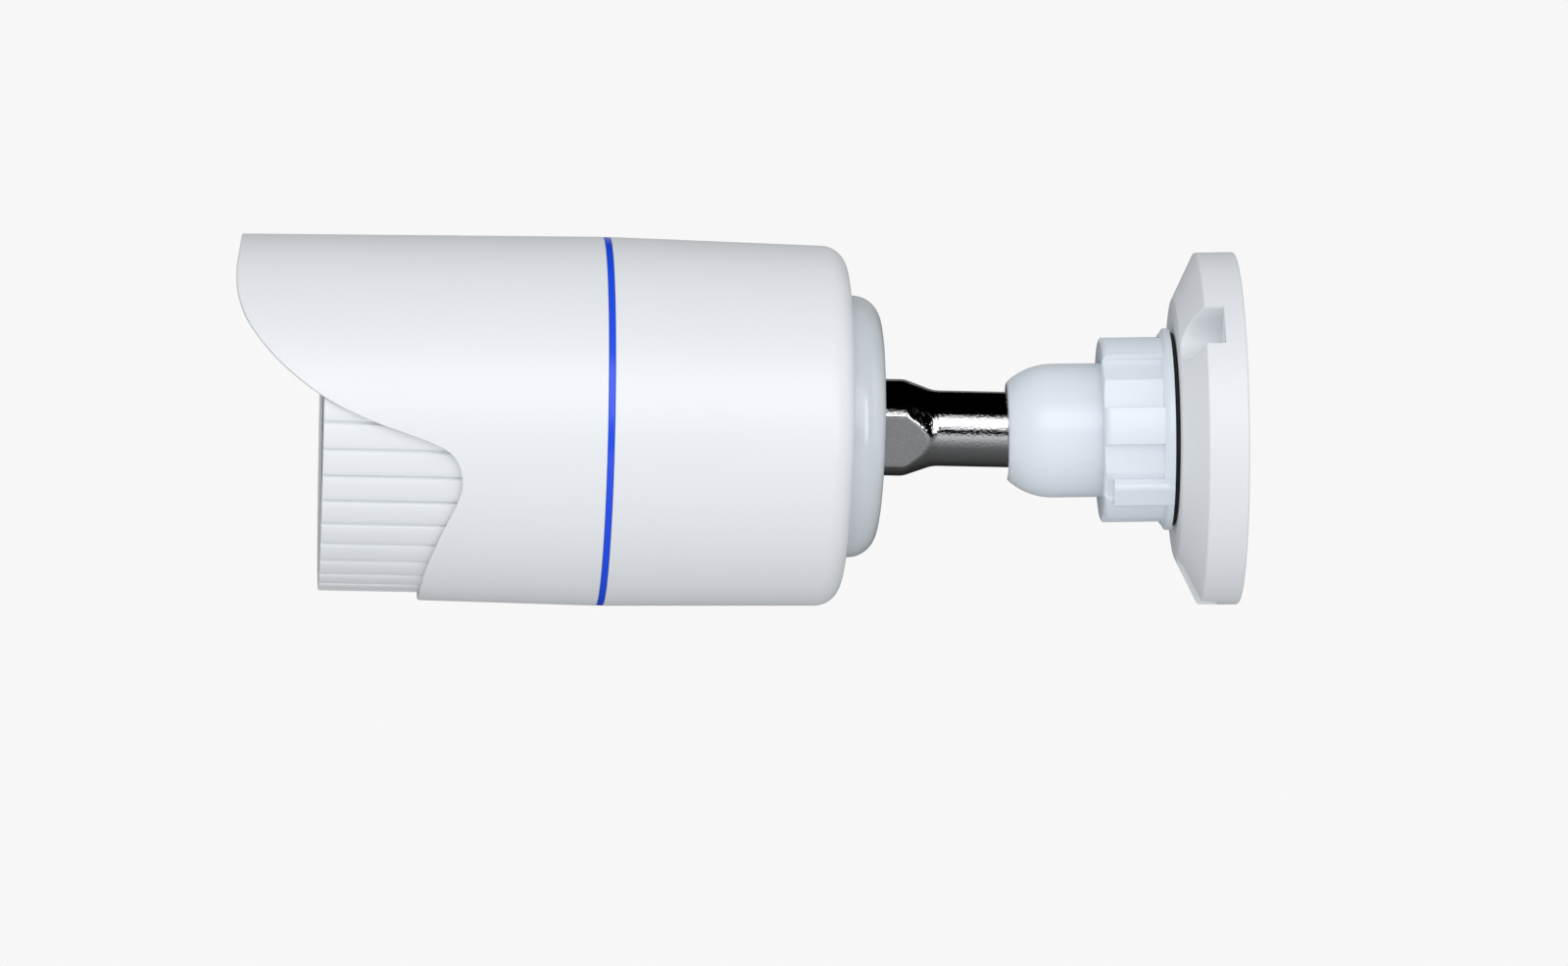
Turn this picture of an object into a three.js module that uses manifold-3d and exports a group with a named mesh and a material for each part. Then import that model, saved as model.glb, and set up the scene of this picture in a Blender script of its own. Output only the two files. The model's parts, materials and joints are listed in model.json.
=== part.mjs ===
// A bullet-style security camera on a wall bracket, in millimetres.
// Frame: the origin is on the wall, on the bracket's axis; +X points out of the wall and +Z is up.
// From the wall outwards: a round base with a threaded post, a ring nut that clamps a slotted dome,
// a chromed stem whose ball sits in the dome, and the camera head that turns on the stem's far end.
// Places along the head are measured from the ball's centre, along the head's own axis.
import * as THREE from "three";
import { mergeVertices } from "three/addons/utils/BufferGeometryUtils.js";
import Module from "manifold-3d";

const wasm = await Module();
wasm.setup();

// ---------------------------------------------------------------- driving dimensions

const GAP = 0.3; // between two pieces that meet
const SHELL_SIDES = 48; // facets round a large shell
const MID_SIDES = 32;
const RING_SIDES = 24;
const SMALL_SIDES = 16;
const SCREW_SIDES = 12;
const STANDOFF_SIDES = 8;

// Pose: how the joints are set at rest, in degrees
const PAN_REST = 32; // the dome's turn about the wall axis, from +Y towards +Z
const TILT_REST = 3.55; // the stem's lean away from the dome's slot
const LEAN_MAX = 7; // how far the mouth lets the stem lean that way
const ROLL_REST = -1.5; // the head's turn about its own axis, off upright

// Wall base
const BASE_R = 33.6;
const BASE_RIM = 7.5; // height of the straight rim
const BASE_HEIGHT = 11.8;
const BASE_CONE = 8.8; // how far the cone runs in from the rim
const BASE_EDGE = 0.6; // rounding of the rim's back edge
const POCKET_COUNT = 3;
const POCKET_ANGLE = 35.4;
const POCKET_WIDTH = 8.25;
const POCKET_INSET = 4.7; // screw centre from the rim
const POCKET_FLOOR = 3.9;
const SCREW_HOLE_R = 2.25;
const GASKET_WIDTH = 6;
const GASKET_INSET = 10.5; // gasket's outer edge from the base's rim
const GASKET_DEPTH = 1.5;

// Threaded post and ring nut
const POST_R = 15.7;
const POST_WALL = 2.9;
const POST_WEB = 3.3;
const CABLE_HOLE_R = 5.2;
const GROMMET_WALL = 1.5;
const GROMMET_RIM = 1.8; // how far its rim reaches past the hole
const GROMMET_RIM_THICK = 1.2;
const NUT_GAP = 0.9; // between the base and the nut, filled by the seal ring
const NUT_LENGTH = 13.25;
const NUT_LIP = 2.05;
const NUT_WALL = 2.1;
const NUT_LANDS = 6;
const NUT_LAND_WIDTH = 23.2; // in degrees
const NUT_LAND_ANGLE = 1.9; // middle of the first land
const NUT_HOLLOW = 0.5; // the crease between two lands lies this far inside them
const NUT_STEP = 1.1; // height of a land above the facets' feet
const NUT_FLANGE = 1.1; // how far the flange stands out
const NUT_FLANGE_THICK = 1.0; // at its rim
const NUT_FLANGE_SLOPE = 0.9; // length of the slope in front of it
const NUT_LUG_ANGLE = -42;
const NUT_LUG_WIDTH = 5.6;
const NUT_LUG_CHAMFER = 0.6;
const NUT_LUG_HEIGHT = 1.2;
const NUT_LUG_SETBACK = 1.65; // lug's end behind the nut's front
const NUT_EDGE = 1.4;
const SLIP_WASHER_THICK = 0.6;

// Slotted dome and ball
const NUT_LIP_REACH = 2.92; // from the nut's bore in to the edge round the dome
const DOME_NUT_GAP = 0.35;
const DOME_WALL = 1.83;
const DOME_LEAD = 0.45; // how far the outer round starts in front of the ball's centre
const DOME_FLANGE_THICK = 2.0;
const BALL_GAP = 0.4;
const SLOT_GAP = 0.5; // each side of the stem in the slot
const SLOT_LAND = 0.86; // between the slot's end and the nut
const MOUTH_MARGIN = 2.1; // dome's mouth edge outside the stem
const MOUTH_GAP = 0.25;
const SEAT_DEPTH = 4.0; // how far the seat's cup wraps the ball's back

// Stem
const STEM_R = 7.19;
const STEM_BORE_R = 3.6;
const CONE_START = 23.3;
const CONE_END = 28.9;
const HUB_STEP = 2.01; // the hub's radius past the stem's
const FLATS_STEP = 0.46; // a flat's distance outside the stem's radius
const FLATS_ANGLE = -22; // the way one flat faces, from +Y towards +Z
const SPIGOT_STEP = 1.19; // the spigot's radius inside the stem's
const STEM_NUT_WALL = 2.5; // at its flats
const STEM_NUT_THICK = 4.5;
const STEM_WASHER_WIDTH = 3.2;
const STEM_WASHER_THICK = 0.6;
const SPIGOT_PROUD = 1.8; // how far the spigot shows past its nut
const BUSH_LENGTH = 4;
const BUSH_RIM = 1.0;
const BUSH_WALL = 1.0;

// Rear cap
const CAP_REAR = 34.0;
const CAP_LENGTH = 6.7;
const CAP_EDGE = 5.2;
const CAP_FLOOR = 2.5;
const CAP_WALL = 2.2;
const CAP_SCREWS = 3;
const CAP_BOSS_R = 3.4;
const CAP_SCREW_R = 1.2;
const CAP_SCREW_HEAD_R = 3.0;
const CAP_SCREW_HEAD = 2.0;
const CAP_SCREW_SLOT = 0.8;
const CAP_BOSS_ROOM = 4.8; // from the stem's washer out to the bosses
const CAP_SEAL_WIDTH = 1.0;
const CAP_SEAL_THICK = 1.2;

// Rear housing, trim ring and sun shield
const HOUSING_LENGTH = 44.65;
const BODY_R = 35.0; // at the trim ring, the widest place
const HOUSING_TAPER = 0.85; // how much narrower it is at the back
const HOUSING_EDGE = 4.7;
const HOUSING_FLOOR = 2.5;
const HOUSING_WALL = 3.0; // at the front end
const HOUSING_WEB = 1.2; // between its hole and the screws
const TRIM_WIDTH = 1.1;
const SHIELD_LENGTH = 69.1;
const SHIELD_TAPER = 0.9; // how much narrower it is at the hood's tip
const SHIELD_WALL = 1.0;
const HOOD_REACH = 42.5; // from the deepest place of the side cut-out to the hood's tip

// The hood's side outline, from its top to its underside.
// Each point is [share of HOOD_REACH ahead of the cut-out's deepest place, share of BODY_R above the axis].
const HOOD_OUTLINE = [
  [0.97, 1.05],
  [0.985, 0.93],
  [0.997, 0.8],
  [0.985, 0.66],
  [0.93, 0.5],
  [0.8, 0.305],
  [0.61, 0.12],
  [0.4, -0.005],
  [0.14, -0.118],
  [0.035, -0.2],
  [0.0, -0.33],
  [0.02, -0.455],
  [0.09, -0.65],
  [0.15, -0.86],
  [0.17, -1.05],
];

// Ribbed barrel
const BARREL_LENGTH = 53.75; // in front of its shoulder
const BARREL_SHIELD_GAP = 0.3; // to the sun shield, at the barrel's front
const BARREL_WALL = 3.7;
const BARREL_TAIL = 10.65;
const BARREL_CHAMFER = 1.0;
const GROOVE_COUNT = 40;
const GROOVE_ANGLE = -1;
const GROOVE_WIDTH = 1.2;
const GROOVE_DEPTH = 0.7;
const GROOVE_SETBACK = 3; // plain band in front of the shoulder
const TAIL_SEAL_SETBACK = 5.6;
const TAIL_SEAL_WIDTH = 2.0;
const TAIL_SEAL_DEPTH = 1.3;

// Front window
const WINDOW_SEAT = 5.7; // seat's depth behind the barrel's front
const WINDOW_WALL = 3.3; // barrel's wall round the window
const WINDOW_THICK = 2.0;
const WINDOW_SEAL_THICK = 1.0;
const WINDOW_SEAL_WIDTH = 1.3;
const BEZEL_WIDTH = 3.2;
const BEZEL_THICK = 1.6;

// Lens and light boards
const THROAT_WALL = 5.4; // barrel's wall round the light board
const CARRIER_THICK = 2.2;
const CARRIER_SETBACK = 16.2; // carrier's front face behind the barrel's front
const RETAINER_LENGTH = 2.5;
const RETAINER_WIDTH = 3.2;
const BOARD_THICK = 1.6;
const LED_COUNT = 8;
const LED_R = 3.0;
const LED_HEIGHT = 5.5;
const LIGHT_SENSOR_R = 1.5;
const LIGHT_SENSOR_HEIGHT = 3.0;
const LIGHT_SENSOR_ROOM = 1.2; // to the lens shroud
const LENS_HEAD_R = 8.5;
const LENS_HEAD_ROOM = 0.7; // round the lens in its holes
const LENS_HEAD_LENGTH = 12.5;
const LENS_THREAD_R = 6.0;
const LENS_THREAD_LENGTH = 8.4;
const LENS_RIM = 2.3; // round the front glass
const LENS_GLASS_DEPTH = 2.6;
const LENS_GLASS_BULGE = 1.3;
const LOCK_RING_STEP = 0.3; // the ring's radius inside the lens head's
const LOCK_RING_THICK = 1.6;
const SHROUD_WIDTH = 2.3;

// Sensor, filter and main board
const LENS_TO_SENSOR_BOARD = 7.6; // lens thread's end in front of the sensor board
const HOLDER_SHELF = 0.8; // of the holder's box past its tube
const HOLDER_BOX = 6.9;
const HOLDER_TUBE = 5.4;
const SENSOR_SIZE = 9;
const SENSOR_THICK = 1.4;
const SENSOR_ROOM = 1; // round the image sensor
const FILTER_HEIGHT = 11;
const FILTER_THICK = 1.0;
const FILTER_TRAVEL = 6.6; // from one pane in front of the sensor to the other
const FILTER_END_WALL = 1.5; // the slot's closed end
const FILTER_END_ROOM = 0.9;
const FILTER_LEVEL = 3.9; // its slot above the sensor board
const ACTUATOR_R = 3.2;
const ACTUATOR_LENGTH = 9;
const SENSOR_BOARD_ROOM = 1.0; // between its corners and the barrel
const STANDOFF_INSET = 4;
const STANDOFF_R = 2.2;
const MAIN_BOARD_ROOM = 4.5; // between it and the housing
const CABLE_ROOM = 8.9; // from the stem's bush to the connector
const CONNECTOR_SIZE = [9, 20, 8];
const HEAT_SPREADER_SIZE = [5, 16, 16];

// ---------------------------------------------------------------- places worked out from them

const POCKET_R = BASE_R - POCKET_INSET;
const BASE_TOP_R = BASE_R - BASE_CONE;
const CHAMBER_R = POST_R - POST_WALL;
const NUT_BACK = BASE_HEIGHT + NUT_GAP;
const NUT_FRONT = NUT_BACK + NUT_LENGTH;
const NUT_BORE_R = POST_R + GAP;
const NUT_R = NUT_BORE_R + NUT_WALL;
const NUT_HOLE_R = NUT_BORE_R - NUT_LIP_REACH;
const DOME_R = NUT_HOLE_R - DOME_NUT_GAP;
const SLIP_WASHER_FRONT = NUT_FRONT - NUT_LIP - GAP;
const SLIP_WASHER_BACK = SLIP_WASHER_FRONT - SLIP_WASHER_THICK;
const DOME_FLANGE_FRONT = SLIP_WASHER_BACK - GAP;
const DOME_FLANGE_BACK = DOME_FLANGE_FRONT - DOME_FLANGE_THICK;
const POST_END = DOME_FLANGE_BACK - GAP;
const SLOT_HALF = STEM_R + SLOT_GAP;
const BALL_X = NUT_FRONT + SLOT_HALF + SLOT_LAND; // the ball's centre
const CAVITY_R = DOME_R - DOME_WALL;
const BALL_R = CAVITY_R - BALL_GAP;

const HUB_R = STEM_R + HUB_STEP;
const HUB_END = CAP_REAR - GAP;
const SPIGOT_R = STEM_R - SPIGOT_STEP;
const WASHER_BACK = CAP_REAR + CAP_FLOOR + GAP;
const WASHER_FRONT = WASHER_BACK + STEM_WASHER_THICK;
const STEM_WASHER_R = SPIGOT_R + GAP + STEM_WASHER_WIDTH;
const STEM_NUT_BACK = WASHER_FRONT + GAP;
const STEM_NUT_FRONT = STEM_NUT_BACK + STEM_NUT_THICK;
const SPIGOT_END = STEM_NUT_FRONT + SPIGOT_PROUD;
const BUSH_FRONT = SPIGOT_END + GAP + BUSH_RIM;

const BOSS_CIRCLE_R = STEM_WASHER_R + CAP_BOSS_ROOM + CAP_BOSS_R;
const CAP_INNER_R = BOSS_CIRCLE_R + CAP_BOSS_R + 2 * GAP + CAP_SEAL_WIDTH;
const CAP_R = CAP_INNER_R + CAP_WALL;
const CAP_FRONT = CAP_REAR + CAP_LENGTH - GAP;
const HOUSING_REAR = CAP_FRONT + GAP;
const HOUSING_FRONT = HOUSING_REAR + HOUSING_LENGTH;
const HOUSING_REAR_R = BODY_R - HOUSING_TAPER;
const HOUSING_BORE_R = BODY_R - HOUSING_WALL;
const HOUSING_HOLE_R = BOSS_CIRCLE_R - CAP_SCREW_R - GAP - HOUSING_WEB;
const SHOULDER = HOUSING_FRONT + GAP;
const TRIM_FRONT = SHOULDER + TRIM_WIDTH;
const SHIELD_REAR = TRIM_FRONT + GAP;
const SHIELD_TIP = SHIELD_REAR + SHIELD_LENGTH;
const BARREL_FRONT = SHOULDER + BARREL_LENGTH;
const SHIELD_SLOPE = SHIELD_TAPER / SHIELD_LENGTH;
const SHIELD_R_AT_BARREL_FRONT = BODY_R - SHIELD_SLOPE * (BARREL_FRONT - SHIELD_REAR);
const BARREL_R = SHIELD_R_AT_BARREL_FRONT - SHIELD_WALL - BARREL_SHIELD_GAP;
const BARREL_BORE_R = BARREL_R - BARREL_WALL;
const TAIL_R = HOUSING_BORE_R - GAP;
const TAIL_BACK = SHOULDER - BARREL_TAIL;
const WINDOW_BORE_R = BARREL_R - WINDOW_WALL;
const THROAT_R = BARREL_R - THROAT_WALL;
const WINDOW_SEAT_AT = BARREL_FRONT - WINDOW_SEAT;

const CARRIER_FRONT = BARREL_FRONT - CARRIER_SETBACK;
const CARRIER_BACK = CARRIER_FRONT - CARRIER_THICK;
const LED_BOARD_BACK = CARRIER_FRONT + 2 * GAP;
const LED_BOARD_FRONT = LED_BOARD_BACK + BOARD_THICK;
const LED_BOARD_R = THROAT_R - GAP;
const LENS_HOLE_R = LENS_HEAD_R + LENS_HEAD_ROOM;
const SHROUD_R = LENS_HOLE_R + SHROUD_WIDTH;
const LED_CIRCLE_R = (SHROUD_R + LED_BOARD_R) / 2;
const LIGHT_SENSOR_CIRCLE_R = SHROUD_R + LIGHT_SENSOR_ROOM + LIGHT_SENSOR_R;
const LENS_GLASS_R = LENS_HEAD_R - LENS_RIM;
const LOCK_RING_R = LENS_HEAD_R - LOCK_RING_STEP;
const LENS_FRONT = LED_BOARD_FRONT + LOCK_RING_THICK;
const LENS_HEAD_BACK = LENS_FRONT - LENS_HEAD_LENGTH;
const LENS_THREAD_END = LENS_HEAD_BACK - LENS_THREAD_LENGTH;
const SENSOR_BOARD_FRONT = LENS_THREAD_END - LENS_TO_SENSOR_BOARD;
const SENSOR_BOARD_BACK = SENSOR_BOARD_FRONT - BOARD_THICK;
const SENSOR_BOARD_SIZE = Math.SQRT2 * (BARREL_BORE_R - SENSOR_BOARD_ROOM);
const STANDOFF_PLACE = SENSOR_BOARD_SIZE / 2 - STANDOFF_INSET;
const HOLDER_WIDTH = 2 * (STANDOFF_PLACE - STANDOFF_R - GAP);
const HOLDER_HEIGHT = 2 * (LOCK_RING_R + HOLDER_SHELF);
const FILTER_REACH = HOLDER_WIDTH / 2 - FILTER_END_WALL - FILTER_END_ROOM;
const FILTER_LENGTH = 2 * FILTER_REACH - FILTER_TRAVEL;
const MAIN_BOARD_BACK = BUSH_FRONT + CABLE_ROOM + CONNECTOR_SIZE[0] + GAP;
const MAIN_BOARD_FRONT = MAIN_BOARD_BACK + BOARD_THICK;
const MAIN_BOARD_R = HOUSING_BORE_R - MAIN_BOARD_ROOM;

// ---------------------------------------------------------------- solids

const radians = THREE.MathUtils.degToRad;
const X_AXIS = new THREE.Vector3(1, 0, 0);
const Y_AXIS = new THREE.Vector3(0, 1, 0);
const Z_AXIS = new THREE.Vector3(0, 0, 1);

// A closed three.js geometry as a solid that can be joined and cut.
function solid(geometry) {
  const bare = new THREE.BufferGeometry();
  bare.setAttribute("position", geometry.getAttribute("position"));
  bare.setIndex(geometry.index);
  const merged = mergeVertices(bare, 1e-4);
  const corners = merged.index.array;
  const kept = [];
  for (let i = 0; i < corners.length; i += 3) {
    const [a, b, c] = [corners[i], corners[i + 1], corners[i + 2]];
    if (a !== b && b !== c && c !== a) kept.push(a, b, c);
  }
  const mesh = new wasm.Mesh({
    numProp: 3,
    vertProperties: new Float32Array(merged.attributes.position.array),
    triVerts: new Uint32Array(kept),
  });
  return new wasm.Manifold(mesh);
}

// The solid's surface as a three.js geometry.
function geometryOf(shape) {
  const mesh = shape.getMesh();
  const geometry = new THREE.BufferGeometry();
  geometry.setAttribute("position", new THREE.BufferAttribute(mesh.vertProperties, 3));
  geometry.setIndex(new THREE.BufferAttribute(mesh.triVerts, 1));
  geometry.computeVertexNormals();
  return geometry;
}

// Points of a round corner: an arc about (x, r), from one angle to another, in degrees from +X.
function arc(x, r, radius, from, to, steps) {
  const points = [];
  for (let i = 0; i <= steps; i++) {
    const angle = radians(from + ((to - from) * i) / steps);
    points.push([x + radius * Math.cos(angle), r + radius * Math.sin(angle)]);
  }
  return points;
}

// A solid of revolution about X. Its profile is a list of [x, radius], which either
// starts and ends on the axis or is closed on itself here.
function turned(points, sides = SHELL_SIDES) {
  const onAxis = points[0][1] === 0 && points.at(-1)[1] === 0;
  const profile = onAxis ? [...points] : [...points, points[0]];
  const area = profile.reduce((sum, [x, r], i) => {
    const [nextX, nextR] = profile[(i + 1) % profile.length];
    return sum + x * nextR - nextX * r;
  }, 0);
  if (area > 0) profile.reverse();
  const outline = profile.map(([x, r]) => new THREE.Vector2(r, x));
  const geometry = new THREE.LatheGeometry(outline, sides);
  geometry.rotateZ(-Math.PI / 2);
  return solid(geometry);
}

// A round bar, or with a bore a tube, along X about the line through (y, z).
function bar(back, front, radius, { bore = 0, y = 0, z = 0, sides = SMALL_SIDES } = {}) {
  const section = new THREE.Shape();
  const hole = new THREE.Path();
  for (let i = 0; i <= sides; i++) {
    const angle = (2 * Math.PI * i) / sides;
    const draw = i === 0 ? "moveTo" : "lineTo";
    section[draw](y + radius * Math.cos(angle), z + radius * Math.sin(angle));
    hole[draw](y + bore * Math.cos(angle), z + bore * Math.sin(angle));
  }
  if (bore > 0) section.holes.push(hole);
  return prism(section, back, front);
}

// A section drawn in (y, z), run along X and turned about X by an angle in degrees.
function prism(section, back, front, { angle = 0 } = {}) {
  const geometry = new THREE.ExtrudeGeometry(section, { depth: front - back, bevelEnabled: false });
  geometry.applyMatrix4(new THREE.Matrix4().makeBasis(Y_AXIS, Z_AXIS, X_AXIS));
  geometry.translate(back, 0, 0);
  geometry.rotateX(radians(angle));
  return solid(geometry);
}

// A section drawn in (x, z), run along Y from one side to the other.
function crossPrism(section, left, right, curveSegments) {
  const geometry = new THREE.ExtrudeGeometry(section, {
    depth: right - left,
    bevelEnabled: false,
    curveSegments,
  });
  geometry.applyMatrix4(new THREE.Matrix4().makeBasis(X_AXIS, Z_AXIS, Y_AXIS.clone().negate()));
  geometry.translate(0, right, 0);
  return solid(geometry);
}

// A box from its lowest to its highest corner, turned about X by an angle in degrees.
function block([x0, y0, z0], [x1, y1, z1], angle = 0) {
  const geometry = new THREE.BoxGeometry(x1 - x0, y1 - y0, z1 - z0);
  geometry.translate((x0 + x1) / 2, (y0 + y1) / 2, (z0 + z1) / 2);
  geometry.rotateX(radians(angle));
  return solid(geometry);
}

// A polygon's Shape from a list of [y, z].
function polygon(points) {
  return new THREE.Shape(points.map(([y, z]) => new THREE.Vector2(y, z)));
}

// The point at a radius and an angle round X, as [y, z].
function polar(radius, angle) {
  return [radius * Math.cos(radians(angle)), radius * Math.sin(radians(angle))];
}

// A hexagon's Shape by its size across the flats.
function hexagon(across) {
  const corner = across / 2 / Math.cos(Math.PI / 6);
  return polygon([0, 60, 120, 180, 240, 300].map((angle) => polar(corner, angle)));
}

// ---------------------------------------------------------------- finishes

const WHITE_PLASTIC = { color: 0xf1f3f5, roughness: 0.38, metalness: 0 };
const CAP_PLASTIC = { color: 0xd9dde0, roughness: 0.3, metalness: 0 };
const BASE_PLASTIC = { color: 0xeceef0, roughness: 0.4, metalness: 0 };
const BLUE_PLASTIC = { color: 0x235cf5, roughness: 0.3, metalness: 0 };
const CHROME = { color: 0xc8ccd0, roughness: 0.08, metalness: 1 };
const STEEL = { color: 0xa9adb0, roughness: 0.35, metalness: 1 };
const ALUMINIUM = { color: 0xb9bdc1, roughness: 0.4, metalness: 1 };
const BLACK_RUBBER = { color: 0x17181a, roughness: 0.85, metalness: 0 };
const BLACK_PLASTIC = { color: 0x202226, roughness: 0.6, metalness: 0 };
const ACETAL = { color: 0xe4e2da, roughness: 0.5, metalness: 0 };
const GLASS = { color: 0x9fb2bd, roughness: 0.04, metalness: 0 };
const CIRCUIT_BOARD = { color: 0x1f5a3a, roughness: 0.55, metalness: 0 };
const LED_PLASTIC = { color: 0x3a2f45, roughness: 0.15, metalness: 0 };
const FILTER_GLASS = { color: 0x6fa9b5, roughness: 0.08, metalness: 0 };
const FOAM = { color: 0x232427, roughness: 0.95, metalness: 0 };

// ---------------------------------------------------------------- groups, each in its joint's frame

const camera = new THREE.Group();
const wallSide = new THREE.Group();
const nutSide = new THREE.Group();
const socketSide = new THREE.Group();
const stemSide = new THREE.Group();
const head = new THREE.Group();
camera.add(wallSide, nutSide, socketSide);
socketSide.add(stemSide);
stemSide.add(head);
socketSide.position.x = BALL_X;
socketSide.rotation.x = radians(PAN_REST);
stemSide.rotation.z = radians(TILT_REST);
head.rotation.x = radians(ROLL_REST - PAN_REST); // turned back on the stem, so that it stands upright

// Adds one named piece to a group.
function add(group, name, shape, finish) {
  const mesh = new THREE.Mesh(geometryOf(shape), new THREE.MeshStandardMaterial(finish));
  mesh.name = name;
  group.add(mesh);
}

// ---------------------------------------------------------------- wall base

function basePlate() {
  const profile = [
    [0, CHAMBER_R],
    ...arc(BASE_EDGE, BASE_R - BASE_EDGE, BASE_EDGE, 180, 90, 2),
    [BASE_RIM, BASE_R],
    [BASE_HEIGHT, BASE_TOP_R],
    [BASE_HEIGHT, POST_R],
    [POST_END, POST_R],
    [POST_END, CABLE_HOLE_R],
    [POST_END - POST_WEB, CABLE_HOLE_R],
    [POST_END - POST_WEB, CHAMBER_R],
  ];
  let plate = turned(profile);
  const outer = BASE_R - GASKET_INSET;
  plate = plate.subtract(
    bar(-1, GASKET_DEPTH, outer, { bore: outer - GASKET_WIDTH, sides: SHELL_SIDES }),
  );
  for (let i = 0; i < POCKET_COUNT; i++) {
    const angle = POCKET_ANGLE + (360 / POCKET_COUNT) * i;
    const [y, z] = polar(POCKET_R, angle);
    const half = POCKET_WIDTH / 2;
    const mouth = block([POCKET_FLOOR, POCKET_R, -half], [BASE_HEIGHT + 1, BASE_R + 1, half], angle);
    plate = plate.subtract(mouth);
    plate = plate.subtract(bar(POCKET_FLOOR, BASE_HEIGHT + 1, half, { y, z, sides: RING_SIDES }));
    plate = plate.subtract(bar(-1, POCKET_FLOOR + 1, SCREW_HOLE_R, { y, z }));
  }
  return plate;
}

function wallGasket() {
  const outer = BASE_R - GASKET_INSET - GAP;
  const inner = BASE_R - GASKET_INSET - GASKET_WIDTH + GAP;
  return bar(0, GASKET_DEPTH - GAP, outer, { bore: inner, sides: MID_SIDES });
}

function postSealRing() {
  const back = BASE_HEIGHT + GAP / 2;
  const front = NUT_BACK - GAP / 2;
  return bar(back, front, NUT_R, { bore: NUT_BORE_R, sides: MID_SIDES });
}

function cableGrommet() {
  const rimFront = POST_END - POST_WEB - GAP;
  const rimBack = rimFront - GROMMET_RIM_THICK;
  const inner = CABLE_HOLE_R - GAP - GROMMET_WALL;
  return turned(
    [
      [rimBack, inner],
      [rimBack, CABLE_HOLE_R + GROMMET_RIM],
      [rimFront, CABLE_HOLE_R + GROMMET_RIM],
      [rimFront, CABLE_HOLE_R - GAP],
      [POST_END, CABLE_HOLE_R - GAP],
      [POST_END, inner],
    ],
    SMALL_SIDES,
  );
}

// The friction cup that the nut presses the ball against.
function ballSeat() {
  const cupR = BALL_R + GAP;
  const front = SEAT_DEPTH - BALL_R;
  const back = DOME_FLANGE_BACK - BALL_X;
  const outer = CAVITY_R - GAP;
  const startAngle = THREE.MathUtils.radToDeg(Math.acos(front / cupR));
  const endAngle = 180 - THREE.MathUtils.radToDeg(Math.asin(CABLE_HOLE_R / cupR));
  const cup = arc(0, 0, cupR, startAngle, endAngle, 4);
  return turned([[back, outer], [front, outer], ...cup, [back, CABLE_HOLE_R]], RING_SIDES);
}

add(wallSide, "base_plate", basePlate(), BASE_PLASTIC);
add(wallSide, "wall_gasket", wallGasket(), BLACK_RUBBER);
add(wallSide, "post_seal_ring", postSealRing(), BLACK_RUBBER);
add(wallSide, "cable_grommet", cableGrommet(), BLACK_RUBBER);
const seatSide = new THREE.Group();
seatSide.position.x = BALL_X;
wallSide.add(seatSide);
add(seatSide, "ball_seat", ballSeat(), ACETAL);

// ---------------------------------------------------------------- ring nut

// The nut's grip: raised lands with two facets between them that meet at a soft crease.
function nutSection() {
  const pitch = 360 / NUT_LANDS;
  const half = NUT_LAND_WIDTH / 2;
  const steps = 4;
  const points = [];
  for (let i = 0; i < NUT_LANDS; i++) {
    const middle = NUT_LAND_ANGLE + pitch * i;
    points.push(polar(NUT_R - NUT_STEP, middle - half));
    for (let j = 0; j <= steps; j++) {
      points.push(polar(NUT_R, middle - half + (NUT_LAND_WIDTH * j) / steps));
    }
    points.push(polar(NUT_R - NUT_STEP, middle + half));
    points.push(polar(NUT_R - NUT_HOLLOW, middle + pitch / 2));
  }
  return polygon(points);
}

function lockNut() {
  const flangeR = NUT_R + NUT_FLANGE;
  const flangeFront = NUT_BACK + NUT_FLANGE_THICK;
  const flange = turned([
    [NUT_BACK, 0],
    [NUT_BACK, flangeR],
    [flangeFront, flangeR],
    [flangeFront + NUT_FLANGE_SLOPE, NUT_R],
    [flangeFront + NUT_FLANGE_SLOPE, 0],
  ]);
  const lugR = NUT_R + NUT_LUG_HEIGHT;
  const lugHalf = NUT_LUG_WIDTH / 2;
  const lugSection = polygon([
    [NUT_BORE_R, -lugHalf],
    [lugR - NUT_LUG_CHAMFER, -lugHalf],
    [lugR, NUT_LUG_CHAMFER - lugHalf],
    [lugR, lugHalf - NUT_LUG_CHAMFER],
    [lugR - NUT_LUG_CHAMFER, lugHalf],
    [NUT_BORE_R, lugHalf],
  ]);
  const lug = prism(lugSection, NUT_BACK, NUT_FRONT - NUT_LUG_SETBACK, { angle: NUT_LUG_ANGLE });
  const edge = turned([
    [NUT_BACK - 1, 0],
    [NUT_BACK - 1, lugR + 1],
    [NUT_FRONT - NUT_LUG_SETBACK, lugR + 1],
    [NUT_FRONT - NUT_LUG_SETBACK, NUT_R],
    ...arc(NUT_FRONT - NUT_EDGE, NUT_R - NUT_EDGE, NUT_EDGE, 90, 0, 3),
    [NUT_FRONT, 0],
  ]);
  const bore = turned([
    [NUT_BACK - 1, 0],
    [NUT_BACK - 1, NUT_BORE_R],
    [NUT_FRONT - NUT_LIP, NUT_BORE_R],
    [NUT_FRONT - NUT_LIP, NUT_HOLE_R],
    [NUT_FRONT + 1, NUT_HOLE_R],
    [NUT_FRONT + 1, 0],
  ]);
  const grip = prism(nutSection(), NUT_BACK, NUT_FRONT);
  return grip.add(flange).add(lug).intersect(edge).subtract(bore);
}

const slipWasher = bar(SLIP_WASHER_BACK, SLIP_WASHER_FRONT, NUT_BORE_R - GAP, {
  bore: NUT_HOLE_R,
  sides: MID_SIDES,
});
add(nutSide, "nut_slip_washer", slipWasher, ACETAL);
add(nutSide, "lock_nut", lockNut(), WHITE_PLASTIC);

// ---------------------------------------------------------------- slotted dome

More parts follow.
